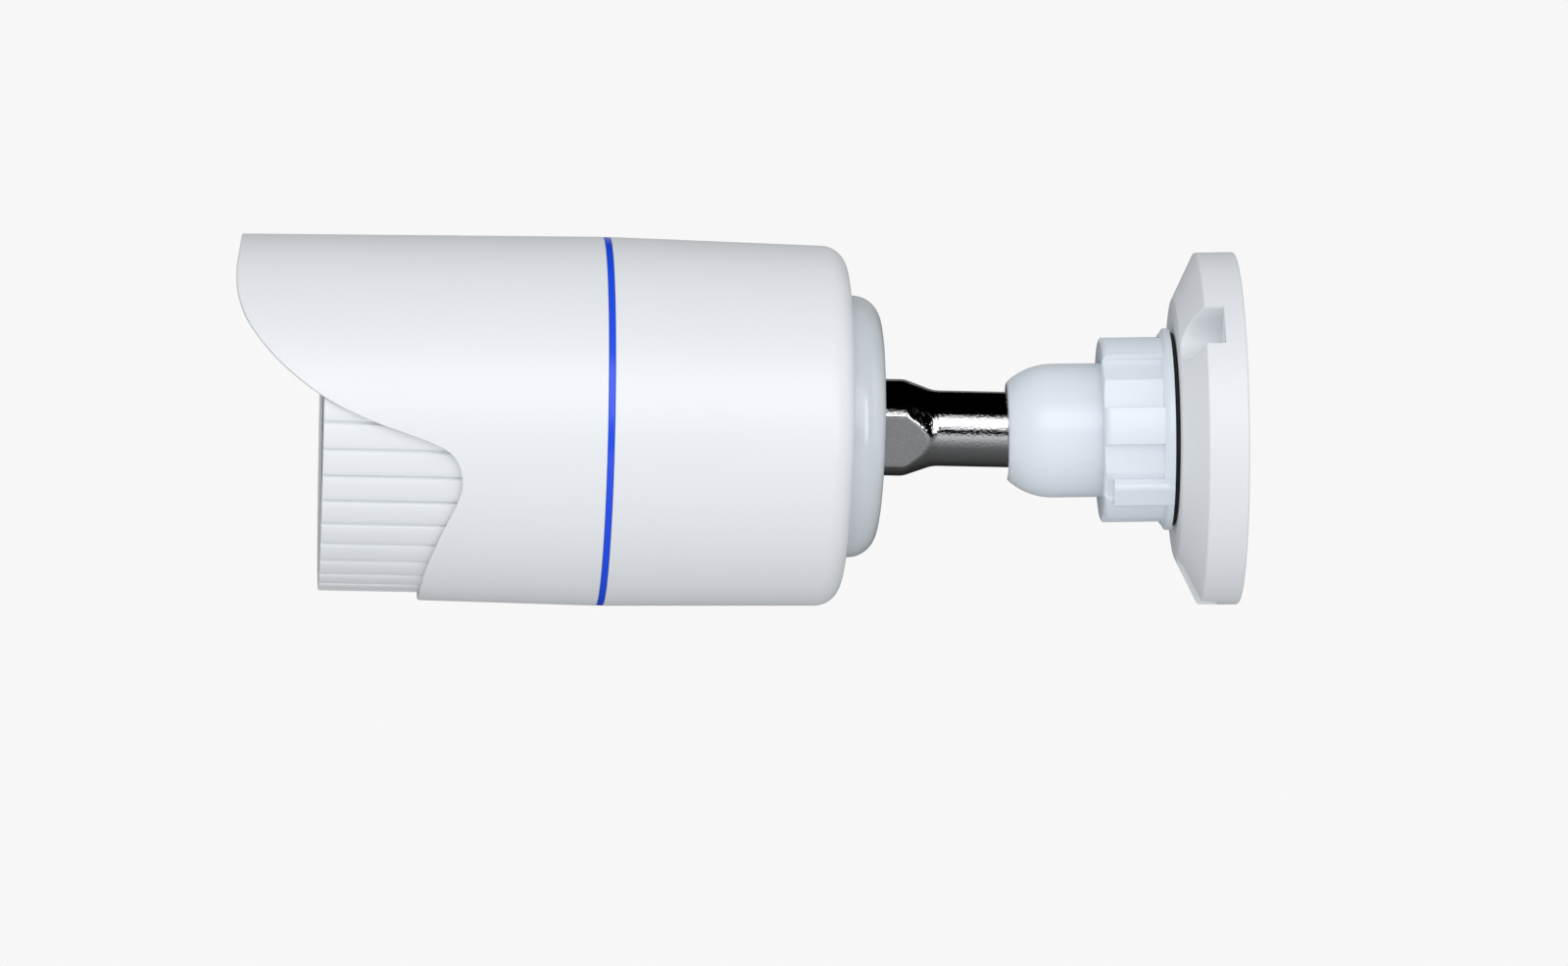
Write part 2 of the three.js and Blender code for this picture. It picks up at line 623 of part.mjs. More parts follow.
// The mouth's radius at a distance in front of the ball's centre: it follows the leaning stem.
function mouthRadius(x) {
  const lean = radians(LEAN_MAX);
  return STEM_R / Math.cos(lean) + x * Math.tan(lean) + MOUTH_GAP;
}

// Where the mouth's cone leaves the ball's cavity.
function mouthInnerEnd() {
  let x = 0;
  for (let i = 0; i < 20; i++) x = Math.sqrt(CAVITY_R ** 2 - mouthRadius(x) ** 2);
  return x;
}

function socketDome() {
  const mouthOuterR = STEM_R + MOUTH_MARGIN;
  const mouthFront = DOME_LEAD + Math.sqrt(DOME_R ** 2 - mouthOuterR ** 2);
  const mouthBack = mouthInnerEnd();
  const outerAngle = THREE.MathUtils.radToDeg(Math.asin(mouthOuterR / DOME_R));
  const innerAngle = THREE.MathUtils.radToDeg(Math.acos(mouthBack / CAVITY_R));
  const flangeR = NUT_BORE_R - 2 * GAP;
  const dome = turned(
    [
      [DOME_FLANGE_BACK - BALL_X, CAVITY_R],
      [DOME_FLANGE_BACK - BALL_X, flangeR],
      [DOME_FLANGE_FRONT - BALL_X, flangeR],
      [DOME_FLANGE_FRONT - BALL_X, DOME_R],
      ...arc(DOME_LEAD, 0, DOME_R, 90, outerAngle, 5),
      [mouthFront, mouthRadius(mouthFront)],
      ...arc(0, 0, CAVITY_R, innerAngle, 90, 4),
    ],
    MID_SIDES,
  );
  const slot = new THREE.Shape();
  slot.moveTo(2 * DOME_R, -SLOT_HALF);
  slot.lineTo(2 * DOME_R, SLOT_HALF);
  slot.lineTo(0, SLOT_HALF);
  slot.absarc(0, 0, SLOT_HALF, Math.PI / 2, (3 * Math.PI) / 2, false);
  return dome.subtract(crossPrism(slot, -DOME_R - 1, 0, SMALL_SIDES));
}

add(socketSide, "socket_dome", socketDome(), WHITE_PLASTIC);

// ---------------------------------------------------------------- stem

function stem() {
  const neck = Math.sqrt(BALL_R ** 2 - STEM_R ** 2);
  const neckAngle = THREE.MathUtils.radToDeg(Math.asin(STEM_R / BALL_R));
  let shape = turned(
    [
      ...arc(0, 0, BALL_R, 180, neckAngle, 10).slice(1, -1),
      [neck, STEM_R],
      [CONE_START, STEM_R],
      [CONE_END, HUB_R],
      [HUB_END, HUB_R],
      [HUB_END, SPIGOT_R],
      [SPIGOT_END, SPIGOT_R],
      [SPIGOT_END, STEM_BORE_R],
      [-BALL_R, STEM_BORE_R],
    ],
    MID_SIDES,
  );
  // Two wrench flats, opposite each other.
  const flatsAngle = FLATS_ANGLE - PAN_REST;
  for (const turn of [0, 180]) {
    const low = [CONE_START, STEM_R + FLATS_STEP, -2 * HUB_R];
    const high = [HUB_END + GAP, 2 * HUB_R, 2 * HUB_R];
    shape = shape.subtract(block(low, high, flatsAngle + turn));
  }
  // The ball is slit from its back round to the side away from the slot, so that the cable stays free.
  const cableSlit = block([-2 * BALL_R, -2 * BALL_R, -STEM_BORE_R], [STEM_BORE_R, 0, STEM_BORE_R]);
  return shape.subtract(cableSlit);
}

const stemWasher = bar(WASHER_BACK, WASHER_FRONT, STEM_WASHER_R, { bore: SPIGOT_R + GAP, sides: MID_SIDES });

function stemNut() {
  const hole = bar(STEM_NUT_BACK - 1, STEM_NUT_FRONT + 1, SPIGOT_R + GAP, { sides: RING_SIDES });
  const section = hexagon(2 * (SPIGOT_R + STEM_NUT_WALL));
  return prism(section, STEM_NUT_BACK, STEM_NUT_FRONT).subtract(hole);
}

function stemBush() {
  const back = SPIGOT_END - BUSH_LENGTH;
  const rimBack = SPIGOT_END + GAP;
  const plugR = STEM_BORE_R - GAP;
  return turned(
    [
      [back, plugR - BUSH_WALL],
      [back, plugR],
      [rimBack, plugR],
      [rimBack, SPIGOT_R],
      [BUSH_FRONT, SPIGOT_R],
      [BUSH_FRONT, plugR - BUSH_WALL],
    ],
    SMALL_SIDES,
  );
}

add(stemSide, "stem", stem(), CHROME);
add(stemSide, "stem_wave_washer", stemWasher, STEEL);
add(stemSide, "stem_nut", stemNut(), STEEL);
add(stemSide, "stem_cable_bush", stemBush(), BLACK_RUBBER);

// ---------------------------------------------------------------- rear cap

const capScrewPlaces = Array.from({ length: CAP_SCREWS }, (_, i) =>
  polar(BOSS_CIRCLE_R, 90 + (360 / CAP_SCREWS) * i),
);

function rearCap() {
  let cap = turned([
    [CAP_REAR, SPIGOT_R + GAP],
    ...arc(CAP_REAR + CAP_EDGE, CAP_R - CAP_EDGE, CAP_EDGE, 180, 90, 5),
    [CAP_FRONT, CAP_R],
    [CAP_FRONT, CAP_INNER_R],
    [CAP_REAR + CAP_EDGE, CAP_INNER_R],
    [CAP_REAR + CAP_FLOOR, CAP_R - CAP_EDGE - CAP_WALL],
    [CAP_REAR + CAP_FLOOR, SPIGOT_R + GAP],
  ]);
  for (const [y, z] of capScrewPlaces) {
    cap = cap.add(bar(CAP_REAR + CAP_FLOOR / 2, CAP_FRONT, CAP_BOSS_R, { y, z }));
    const hole = bar(CAP_REAR + CAP_FLOOR, CAP_FRONT + 1, CAP_SCREW_R + GAP, { y, z, sides: SCREW_SIDES });
    cap = cap.subtract(hole);
  }
  return cap;
}

function capScrew([y, z]) {
  const headBack = HOUSING_REAR + HOUSING_FLOOR + GAP;
  const tip = CAP_REAR + CAP_FLOOR + GAP;
  const shank = bar(tip, headBack, CAP_SCREW_R, { y, z, sides: SCREW_SIDES });
  const screwHead = bar(headBack, headBack + CAP_SCREW_HEAD, CAP_SCREW_HEAD_R, { y, z, sides: SCREW_SIDES });
  const slot = block(
    [headBack + CAP_SCREW_HEAD / 2, y - CAP_SCREW_SLOT / 2, z - CAP_SCREW_HEAD_R],
    [headBack + CAP_SCREW_HEAD + 1, y + CAP_SCREW_SLOT / 2, z + CAP_SCREW_HEAD_R],
  );
  return shank.add(screwHead).subtract(slot);
}

const capSeal = bar(CAP_FRONT - CAP_SEAL_THICK, CAP_FRONT, CAP_INNER_R - GAP, {
  bore: CAP_INNER_R - GAP - CAP_SEAL_WIDTH,
  sides: MID_SIDES,
});
add(head, "rear_cap", rearCap(), CAP_PLASTIC);
add(head, "cap_seal", capSeal, BLACK_RUBBER);
capScrewPlaces.forEach((place, i) => add(head, `cap_screw_${i + 1}`, capScrew(place), STEEL));

// ---------------------------------------------------------------- rear housing, trim ring, sun shield

function rearHousing() {
  let housing = turned([
    [HOUSING_REAR, HOUSING_HOLE_R],
    ...arc(HOUSING_REAR + HOUSING_EDGE, HOUSING_REAR_R - HOUSING_EDGE, HOUSING_EDGE, 180, 90, 5),
    [HOUSING_FRONT, BODY_R],
    [HOUSING_FRONT, HOUSING_BORE_R],
    [HOUSING_REAR + HOUSING_EDGE, HOUSING_BORE_R],
    [HOUSING_REAR + HOUSING_FLOOR, HOUSING_REAR_R - HOUSING_EDGE],
    [HOUSING_REAR + HOUSING_FLOOR, HOUSING_HOLE_R],
  ]);
  for (const [y, z] of capScrewPlaces) {
    const front = HOUSING_REAR + HOUSING_FLOOR + 1;
    housing = housing.subtract(bar(HOUSING_REAR - 1, front, CAP_SCREW_R + GAP, { y, z, sides: SCREW_SIDES }));
  }
  return housing;
}

const trimRing = bar(SHOULDER, TRIM_FRONT, BODY_R, { bore: BARREL_R + GAP, sides: SHELL_SIDES });

// The region in front of the hood's side outline, right across the head.
function hoodCutOut() {
  const deepest = SHIELD_TIP - HOOD_REACH;
  const clear = SHIELD_TIP + 5;
  const outline = HOOD_OUTLINE.map(
    ([ahead, above]) => new THREE.Vector2(deepest + HOOD_REACH * ahead, BODY_R * above),
  );
  const section = new THREE.Shape();
  section.moveTo(outline[0].x, outline[0].y);
  section.splineThru(outline.slice(1));
  section.lineTo(clear, outline.at(-1).y);
  section.lineTo(clear, outline[0].y);
  return crossPrism(section, -BODY_R - 1, BODY_R + 1, 2);
}

function sunShield() {
  const tube = turned([
    [SHIELD_REAR, BODY_R - SHIELD_WALL],
    [SHIELD_REAR, BODY_R],
    [SHIELD_TIP, BODY_R - SHIELD_TAPER],
    [SHIELD_TIP, BODY_R - SHIELD_TAPER - SHIELD_WALL],
  ]);
  return tube.subtract(hoodCutOut());
}

add(head, "rear_housing", rearHousing(), WHITE_PLASTIC);
add(head, "trim_ring", trimRing, BLUE_PLASTIC);
add(head, "sun_shield", sunShield(), WHITE_PLASTIC);

// ---------------------------------------------------------------- ribbed barrel

function ribbedBarrel() {
  const sealFront = SHOULDER - TAIL_SEAL_SETBACK + TAIL_SEAL_WIDTH;
  const sealBack = SHOULDER - TAIL_SEAL_SETBACK;
  let barrel = turned(
    [
      [TAIL_BACK, BARREL_BORE_R],
      [TAIL_BACK, TAIL_R],
      [sealBack, TAIL_R],
      [sealBack, TAIL_R - TAIL_SEAL_DEPTH],
      [sealFront, TAIL_R - TAIL_SEAL_DEPTH],
      [sealFront, TAIL_R],
      [SHOULDER, TAIL_R],
      [SHOULDER, BARREL_R],
      [BARREL_FRONT - BARREL_CHAMFER, BARREL_R],
      [BARREL_FRONT, BARREL_R - BARREL_CHAMFER],
      [BARREL_FRONT, WINDOW_BORE_R],
      [WINDOW_SEAT_AT, WINDOW_BORE_R],
      [WINDOW_SEAT_AT, THROAT_R],
      [CARRIER_FRONT + GAP, THROAT_R],
      [CARRIER_FRONT + GAP, BARREL_BORE_R],
    ],
    GROOVE_COUNT,
  );
  const groove = polygon([
    [BARREL_R - GROOVE_DEPTH, 0],
    [BARREL_R + GROOVE_DEPTH, -GROOVE_WIDTH],
    [BARREL_R + GROOVE_DEPTH, GROOVE_WIDTH],
  ]);
  for (let i = 0; i < GROOVE_COUNT; i++) {
    const angle = (360 / GROOVE_COUNT) * i;
    barrel = barrel.subtract(prism(groove, SHOULDER + GROOVE_SETBACK, BARREL_FRONT + 1, { angle }));
  }
  return barrel;
}

const barrelSide = new THREE.Group();
barrelSide.rotation.x = radians(GROOVE_ANGLE);
head.add(barrelSide);
add(barrelSide, "ribbed_barrel", ribbedBarrel(), WHITE_PLASTIC);

const barrelSeal = bar(
  SHOULDER - TAIL_SEAL_SETBACK + GAP,
  SHOULDER - TAIL_SEAL_SETBACK + TAIL_SEAL_WIDTH - GAP,
  TAIL_R,
  { bore: TAIL_R - TAIL_SEAL_DEPTH + GAP, sides: MID_SIDES },
);
add(barrelSide, "barrel_seal", barrelSeal, BLACK_RUBBER);

// ---------------------------------------------------------------- front window

const WINDOW_R = WINDOW_BORE_R - GAP;
const WINDOW_SEAL_BACK = WINDOW_SEAT_AT + GAP / 2;
const WINDOW_BACK = WINDOW_SEAL_BACK + WINDOW_SEAL_THICK + GAP / 2;
const WINDOW_FRONT = WINDOW_BACK + WINDOW_THICK;
const BEZEL_BACK = WINDOW_FRONT + GAP / 2;

const windowSeal = bar(WINDOW_SEAL_BACK, WINDOW_SEAL_BACK + WINDOW_SEAL_THICK, WINDOW_R, {
  bore: WINDOW_R - WINDOW_SEAL_WIDTH,
  sides: RING_SIDES,
});
const frontWindow = bar(WINDOW_BACK, WINDOW_FRONT, WINDOW_R, { sides: GROOVE_COUNT });
const windowBezel = bar(BEZEL_BACK, BEZEL_BACK + BEZEL_THICK, WINDOW_R, {
  bore: WINDOW_R - BEZEL_WIDTH,
  sides: GROOVE_COUNT,
});
add(barrelSide, "window_seal", windowSeal, BLACK_RUBBER);
add(barrelSide, "front_window", frontWindow, GLASS);
add(barrelSide, "window_bezel", windowBezel, BLACK_PLASTIC);

// ---------------------------------------------------------------- carrier, lights and lens

const carrier = bar(CARRIER_BACK, CARRIER_FRONT, BARREL_BORE_R - GAP, {
  bore: LENS_HOLE_R,
  sides: RING_SIDES,
});
const retainer = bar(CARRIER_BACK - GAP - RETAINER_LENGTH, CARRIER_BACK - GAP, BARREL_BORE_R - GAP, {
  bore: BARREL_BORE_R - GAP - RETAINER_WIDTH,
  sides: RING_SIDES,
});
const ledBoard = bar(LED_BOARD_BACK, LED_BOARD_FRONT, LED_BOARD_R, {
  bore: LENS_HOLE_R,
  sides: RING_SIDES,
});
add(barrelSide, "carrier_plate", carrier, ALUMINIUM);
add(barrelSide, "carrier_retaining_ring", retainer, BLACK_PLASTIC);
add(barrelSide, "led_board", ledBoard, CIRCUIT_BOARD);

// A domed infrared diode that stands on the light board.
function led(angle) {
  const [y, z] = polar(LED_CIRCLE_R, angle);
  const foot = LED_BOARD_FRONT + GAP;
  const domeAt = foot + LED_HEIGHT - LED_R;
  const profile = [
    [foot, 0],
    [foot, LED_R],
    ...arc(domeAt, 0, LED_R, 90, 0, 3).slice(0, -1),
    [domeAt + LED_R, 0],
  ];
  const outline = profile.map(([x, r]) => new THREE.Vector2(r, x));
  const geometry = new THREE.LatheGeometry(outline, SCREW_SIDES);
  geometry.rotateZ(-Math.PI / 2);
  geometry.translate(0, y, z);
  return solid(geometry);
}

for (let i = 0; i < LED_COUNT; i++) {
  add(head, `ir_led_${i + 1}`, led((360 / LED_COUNT) * (i + 0.5)), LED_PLASTIC);
}

const [sensorY, sensorZ] = polar(LIGHT_SENSOR_CIRCLE_R, 90);
const lightSensorBack = LED_BOARD_FRONT + GAP;
const lightSensor = bar(lightSensorBack, lightSensorBack + LIGHT_SENSOR_HEIGHT, LIGHT_SENSOR_R, {
  y: sensorY,
  z: sensorZ,
  sides: SCREW_SIDES,
});
add(head, "light_sensor", lightSensor, LED_PLASTIC);

// The lens: a threaded tail, a wider head, and a recess for the front glass.
function lensBarrel() {
  return turned(
    [
      [LENS_THREAD_END, 0],
      [LENS_THREAD_END, LENS_THREAD_R],
      [LENS_HEAD_BACK, LENS_THREAD_R],
      [LENS_HEAD_BACK, LENS_HEAD_R],
      [LENS_FRONT, LENS_HEAD_R],
      [LENS_FRONT, LENS_GLASS_R + GAP],
      [LENS_FRONT - LENS_GLASS_DEPTH, LENS_GLASS_R + GAP],
      [LENS_FRONT - LENS_GLASS_DEPTH, 0],
    ],
    RING_SIDES,
  );
}

function lensFrontGlass() {
  const back = LENS_FRONT - LENS_GLASS_DEPTH + GAP;
  const rim = LENS_FRONT - LENS_GLASS_BULGE;
  const bulgeR = (LENS_GLASS_R ** 2 + LENS_GLASS_BULGE ** 2) / (2 * LENS_GLASS_BULGE);
  const half = THREE.MathUtils.radToDeg(Math.asin(LENS_GLASS_R / bulgeR));
  const cap = arc(LENS_FRONT - bulgeR, 0, bulgeR, half, 0, 4).slice(1, -1);
  return turned(
    [[back, 0], [back, LENS_GLASS_R], [rim, LENS_GLASS_R], ...cap, [LENS_FRONT, 0]],
    RING_SIDES,
  );
}

const lockRingBack = LENS_HEAD_BACK - GAP - LOCK_RING_THICK;
const lockRing = bar(lockRingBack, LENS_HEAD_BACK - GAP, LOCK_RING_R, {
  bore: LENS_THREAD_R + GAP,
  sides: RING_SIDES,
});
const shroud = bar(LED_BOARD_FRONT + GAP, WINDOW_BACK - GAP, SHROUD_R, {
  bore: LENS_HOLE_R,
  sides: RING_SIDES,
});
add(head, "lens_barrel", lensBarrel(), BLACK_PLASTIC);
add(head, "lens_front_glass", lensFrontGlass(), GLASS);
add(head, "lens_lock_ring", lockRing, BLACK_PLASTIC);
add(head, "lens_shroud", shroud, FOAM);

// ---------------------------------------------------------------- lens holder, filter and sensor

const HOLDER_BACK = SENSOR_BOARD_FRONT + GAP;
const HOLDER_BOX_FRONT = HOLDER_BACK + HOLDER_BOX;
const FILTER_BACK = SENSOR_BOARD_FRONT + FILTER_LEVEL;
const FILTER_FRONT = FILTER_BACK + FILTER_THICK;

function lensHolder() {
  const boxHalfW = HOLDER_WIDTH / 2;
  const boxHalfH = HOLDER_HEIGHT / 2;
  const roomHalf = SENSOR_SIZE / 2 + SENSOR_ROOM;
  const slotHalf = FILTER_HEIGHT / 2 + GAP;
  const tubeEnd = Math.min(HOLDER_BOX_FRONT + HOLDER_TUBE, lockRingBack - GAP);
  const box = block([HOLDER_BACK, -boxHalfW, -boxHalfH], [HOLDER_BOX_FRONT, boxHalfW, boxHalfH]);
  const tube = bar(HOLDER_BOX_FRONT - 1, tubeEnd, LOCK_RING_R, { sides: RING_SIDES });
  const thread = bar(FILTER_BACK, tubeEnd + 1, LENS_THREAD_R + GAP, { sides: RING_SIDES });
  const room = block([HOLDER_BACK - 1, -roomHalf, -roomHalf], [FILTER_BACK + GAP, roomHalf, roomHalf]);
  const slotLow = [FILTER_BACK - GAP, FILTER_END_WALL - boxHalfW, -slotHalf];
  const slotHigh = [FILTER_FRONT + GAP, boxHalfW + 1, slotHalf];
  return box.add(tube).subtract(thread).subtract(room).subtract(block(slotLow, slotHigh));
}

const irCutFilter = block(
  [FILTER_BACK, -FILTER_REACH, -FILTER_HEIGHT / 2],
  [FILTER_FRONT, FILTER_LENGTH - FILTER_REACH, FILTER_HEIGHT / 2],
);
const sensorHalf = SENSOR_SIZE / 2;
const imageSensor = block(
  [SENSOR_BOARD_FRONT + GAP, -sensorHalf, -sensorHalf],
  [SENSOR_BOARD_FRONT + GAP + SENSOR_THICK, sensorHalf, sensorHalf],
);
const actuatorZ = -HOLDER_HEIGHT / 2 - ACTUATOR_R - GAP;
const actuator = bar(HOLDER_BACK, HOLDER_BACK + ACTUATOR_LENGTH, ACTUATOR_R, {
  z: actuatorZ,
  sides: SCREW_SIDES,
});
const boardHalf = SENSOR_BOARD_SIZE / 2;
const sensorBoard = block(
  [SENSOR_BOARD_BACK, -boardHalf, -boardHalf],
  [SENSOR_BOARD_FRONT, boardHalf, boardHalf],
);
add(head, "lens_holder", lensHolder(), BLACK_PLASTIC);
add(head, "ir_cut_filter", irCutFilter, FILTER_GLASS);
add(head, "filter_actuator", actuator, STEEL);
add(head, "image_sensor", imageSensor, GLASS);
add(head, "sensor_board", sensorBoard, CIRCUIT_BOARD);

// ---------------------------------------------------------------- main board and standoffs

const mainBoard = bar(MAIN_BOARD_BACK, MAIN_BOARD_FRONT, MAIN_BOARD_R, { sides: RING_SIDES });
add(head, "main_board", mainBoard, CIRCUIT_BOARD);

const corners = [
  [1, 1],
  [-1, 1],
  [-1, -1],
  [1, -1],
];
corners.forEach(([sideY, sideZ], i) => {
  const place = { y: STANDOFF_PLACE * sideY, z: STANDOFF_PLACE * sideZ, sides: STANDOFF_SIDES };
  const frontPost = bar(SENSOR_BOARD_FRONT + GAP, CARRIER_BACK - GAP, STANDOFF_R, place);
  const rearPost = bar(MAIN_BOARD_FRONT + GAP, SENSOR_BOARD_BACK - GAP, STANDOFF_R, place);
  add(head, `front_standoff_${i + 1}`, frontPost, STEEL);
  add(head, `rear_standoff_${i + 1}`, rearPost, STEEL);
});

// A box that lies centred on a face of the main board.
function onMainBoard([thick, width, height], front) {
  const near = front ? MAIN_BOARD_FRONT + GAP : MAIN_BOARD_BACK - GAP - thick;
  return block([near, -width / 2, -height / 2], [near + thick, width / 2, height / 2]);
}

add(head, "cable_connector", onMainBoard(CONNECTOR_SIZE, false), ACETAL);
add(head, "heat_spreader", onMainBoard(HEAT_SPREADER_SIZE, true), ALUMINIUM);

export default camera;
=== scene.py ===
# %% [markdown]
# # A bullet camera on its wall bracket
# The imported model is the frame: every piece here is built round one of its nodes, at that node's
# size and place, and moves with that node's body. The frame is in metres, with the wall at X = 0
# and +X pointing out of the wall.

# %% Load the frame
import json
import math
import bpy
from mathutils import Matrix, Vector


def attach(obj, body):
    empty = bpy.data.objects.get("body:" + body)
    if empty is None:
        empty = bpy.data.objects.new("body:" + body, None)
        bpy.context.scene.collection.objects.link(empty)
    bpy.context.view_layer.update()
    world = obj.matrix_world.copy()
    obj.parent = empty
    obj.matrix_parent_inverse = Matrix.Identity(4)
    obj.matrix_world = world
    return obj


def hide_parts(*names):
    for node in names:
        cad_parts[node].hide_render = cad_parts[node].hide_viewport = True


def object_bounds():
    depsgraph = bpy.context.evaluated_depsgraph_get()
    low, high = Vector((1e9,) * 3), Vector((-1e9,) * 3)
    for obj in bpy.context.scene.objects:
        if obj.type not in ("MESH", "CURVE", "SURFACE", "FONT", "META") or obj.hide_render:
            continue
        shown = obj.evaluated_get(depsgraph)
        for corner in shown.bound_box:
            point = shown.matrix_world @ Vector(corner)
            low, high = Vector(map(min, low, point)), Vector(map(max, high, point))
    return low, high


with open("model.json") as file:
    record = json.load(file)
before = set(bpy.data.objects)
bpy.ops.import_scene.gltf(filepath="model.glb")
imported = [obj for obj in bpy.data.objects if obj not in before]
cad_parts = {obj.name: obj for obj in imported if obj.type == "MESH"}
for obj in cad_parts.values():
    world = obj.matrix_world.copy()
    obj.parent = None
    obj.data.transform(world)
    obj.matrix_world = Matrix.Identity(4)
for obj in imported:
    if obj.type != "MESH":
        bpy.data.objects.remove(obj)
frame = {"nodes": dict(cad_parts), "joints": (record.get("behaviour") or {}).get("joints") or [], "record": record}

from types import SimpleNamespace

import bmesh
import bpy
import numpy as np
from mathutils import Matrix, Vector

MM = 0.001
cad_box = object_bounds()

# %% [markdown]
# ## Working frames
# A round piece is easiest to draw as a section, in millimetres along its axis and out from it. So
# each group of pieces gets a frame whose X is the axis. The joints say where those axes are: the
# wall bracket's is X, and the stem and the head lie along the roll joint's axis, from the ball's
# centre outwards.

# %% Frames from the joints
joints = {joint["name"]: joint for joint in frame["joints"]}


def axes_at(origin, along, side):
    """A matrix whose X is along, whose Y is towards side, and whose origin is given."""
    x = Vector(along).normalized()
    z = x.cross(Vector(side)).normalized()
    matrix = Matrix((x, z.cross(x), z)).transposed().to_4x4()
    matrix.translation = Vector(origin)
    return matrix


ball_centre = joints["tilt"]["pos_m"]
slot_normal = -Vector(joints["tilt"]["axis"])
stem_line = Vector(joints["roll"]["axis"])
WALL = axes_at((0, 0, 0), (1, 0, 0), (0, 1, 0))
SOCKET = axes_at(ball_centre, (1, 0, 0), slot_normal.cross(Vector((1, 0, 0))))
STEM = axes_at(ball_centre, stem_line, slot_normal.cross(stem_line))
HEAD = axes_at(ball_centre, stem_line, joints["filter_shift"]["axis"])


def span(node, place):
    """How far a node reaches along the frame's axis and out from it, in mm."""
    away = place.inverted()
    points = np.array([away @ v.co for v in frame["nodes"][node].data.vertices]) / MM
    out = np.hypot(points[:, 1], points[:, 2])
    along = points[:, 0]
    return SimpleNamespace(back=along.min(), front=along.max(), hole=out.min(), out=out.max())


head_lean = math.degrees(stem_line.angle(Vector((1, 0, 0))))
print("head axis leans", round(head_lean, 2), "degrees off the wall's normal")

# %% [markdown]
# ## Round pieces
# A moulded or turned piece never has a true sharp edge: a mould or a tool leaves a radius, and that
# radius is what catches the light. A bevel modifier could add it, but drawing it in the section
# keeps each radius at its own size. `rounded` puts an arc on each corner of a section, and `ring`
# sweeps the section round the axis. Weighted normals keep the flats flat next to the small arcs.

# %% Sections and rings
def rounded(corners):
    """A closed outline from corners of (along, out, radius), each rounded by an arc."""
    outline = []
    for i, (x, y, radius) in enumerate(corners):
        here = Vector((x, y))
        if radius == 0:
            outline.append((x, y))
            continue
        back = (Vector(corners[i - 1][:2]) - here).normalized()
        ahead = (Vector(corners[(i + 1) % len(corners)][:2]) - here).normalized()
        half = back.angle(ahead) / 2
        middle = here + (back + ahead).normalized() * radius / math.sin(half)
        steps = 4 + round(2 * radius)
        start = here + back * radius / math.tan(half) - middle
        stop = here + ahead * radius / math.tan(half) - middle
        turn = start.angle_signed(stop)
        for step in range(steps + 1):
            outline.append(tuple(middle + Matrix.Rotation(-turn * step / steps, 2) @ start))
    return outline


def piece(name, mesh, place, body, slot, replaces, sharp=38):
    """Makes an object of a bmesh, smooth up to a sharp angle, which rides on a body for its nodes."""
    bmesh.ops.remove_doubles(mesh, verts=mesh.verts, dist=1e-7)
    bmesh.ops.recalc_face_normals(mesh, faces=mesh.faces)
    data = bpy.data.meshes.new(name)
    mesh.to_mesh(data)
    mesh.free()
    data.transform(place)
    data.shade_smooth()
    data.set_sharp_from_angle(angle=math.radians(sharp))
    made = bpy.data.objects.new(name, data)
    bpy.context.scene.collection.objects.link(made)
    made.modifiers.new("flats", "WEIGHTED_NORMAL").keep_sharp = True
    data.materials.append(finishes[slot])
    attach(made, body)
    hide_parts(*replaces)
    print(name, len(data.polygons), "faces")
    return made


def swept(section, turns):
    """A bmesh of a section swept round X. The section is a list, or a function of the angle."""
    angles = [math.tau * i / turns for i in range(turns)] if isinstance(turns, int) else turns
    mesh = bmesh.new()
    rows = []
    for angle in angles:
        points = section(angle) if callable(section) else section
        spoke = (math.cos(angle), math.sin(angle))
        rows.append([mesh.verts.new((x * MM, r * spoke[0] * MM, r * spoke[1] * MM)) for x, r in points])
    for row, following in zip(rows, rows[1:] + rows[:1]):
        for j in range(len(row)):
            k = (j + 1) % len(row)
            mesh.faces.new((row[j], row[k], following[k], following[j]))
    return mesh


# %% [markdown]
# The frame's round shells have 48 flat sides, so a true circle through their corners would bulge
# past the sides. The pieces take the radius half way between the two, which keeps them inside.

# %% Radii that stay inside the frame
SHELL_SIDES = 48
TRUE = (1 + math.cos(math.pi / SHELL_SIDES)) / 2
print("smooth radii are", round(TRUE, 5), "of the frame's corners")

# %% [markdown]
# ## The camera and the studio
# The camera stands about level with the head, about 1.4 m off, with a long lens. White plastic shows
# its form only if the light falls off evenly towards its edges, so it is lit by a wide tent of even
# light on the camera's side. Chrome is the opposite: it shows whatever stands round it, and looks
# like chrome only with bright shapes between black ones. So the tent and a key box light only matt
# surfaces, and reflections see five other soft boxes in a dark room: one in front, a strip and a
# wide box towards the wall, one towards the head and a weak one behind. The table closes it below.

# %% Camera
CAMERA_AT = Vector((0.11797, 1.4355, -0.00931))
CAMERA_YAW = math.radians(1.27)
CAMERA_ROLL = math.radians(0.75)
FOCAL_LENGTH = 173.25

lens = bpy.data.cameras.new("camera")
lens.lens = FOCAL_LENGTH
lens.sensor_width = 36
lens.clip_start, lens.clip_end = 0.05, 50
camera = bpy.data.objects.new("camera", lens)
bpy.context.scene.collection.objects.link(camera)
level = Vector((-math.cos(CAMERA_YAW), math.sin(CAMERA_YAW), 0))
backwards = Vector((math.sin(CAMERA_YAW), math.cos(CAMERA_YAW), 0))
right = level * math.cos(CAMERA_ROLL) - Vector((0, 0, math.sin(CAMERA_ROLL)))
camera.matrix_world = Matrix.Translation(CAMERA_AT) @ Matrix(
    (right, backwards.cross(right), backwards)
).transposed().to_4x4()
bpy.context.scene.camera = camera
bpy.context.scene.view_settings.view_transform = "Standard"
print("camera", round(CAMERA_AT.length, 2), "m from the wall's origin")


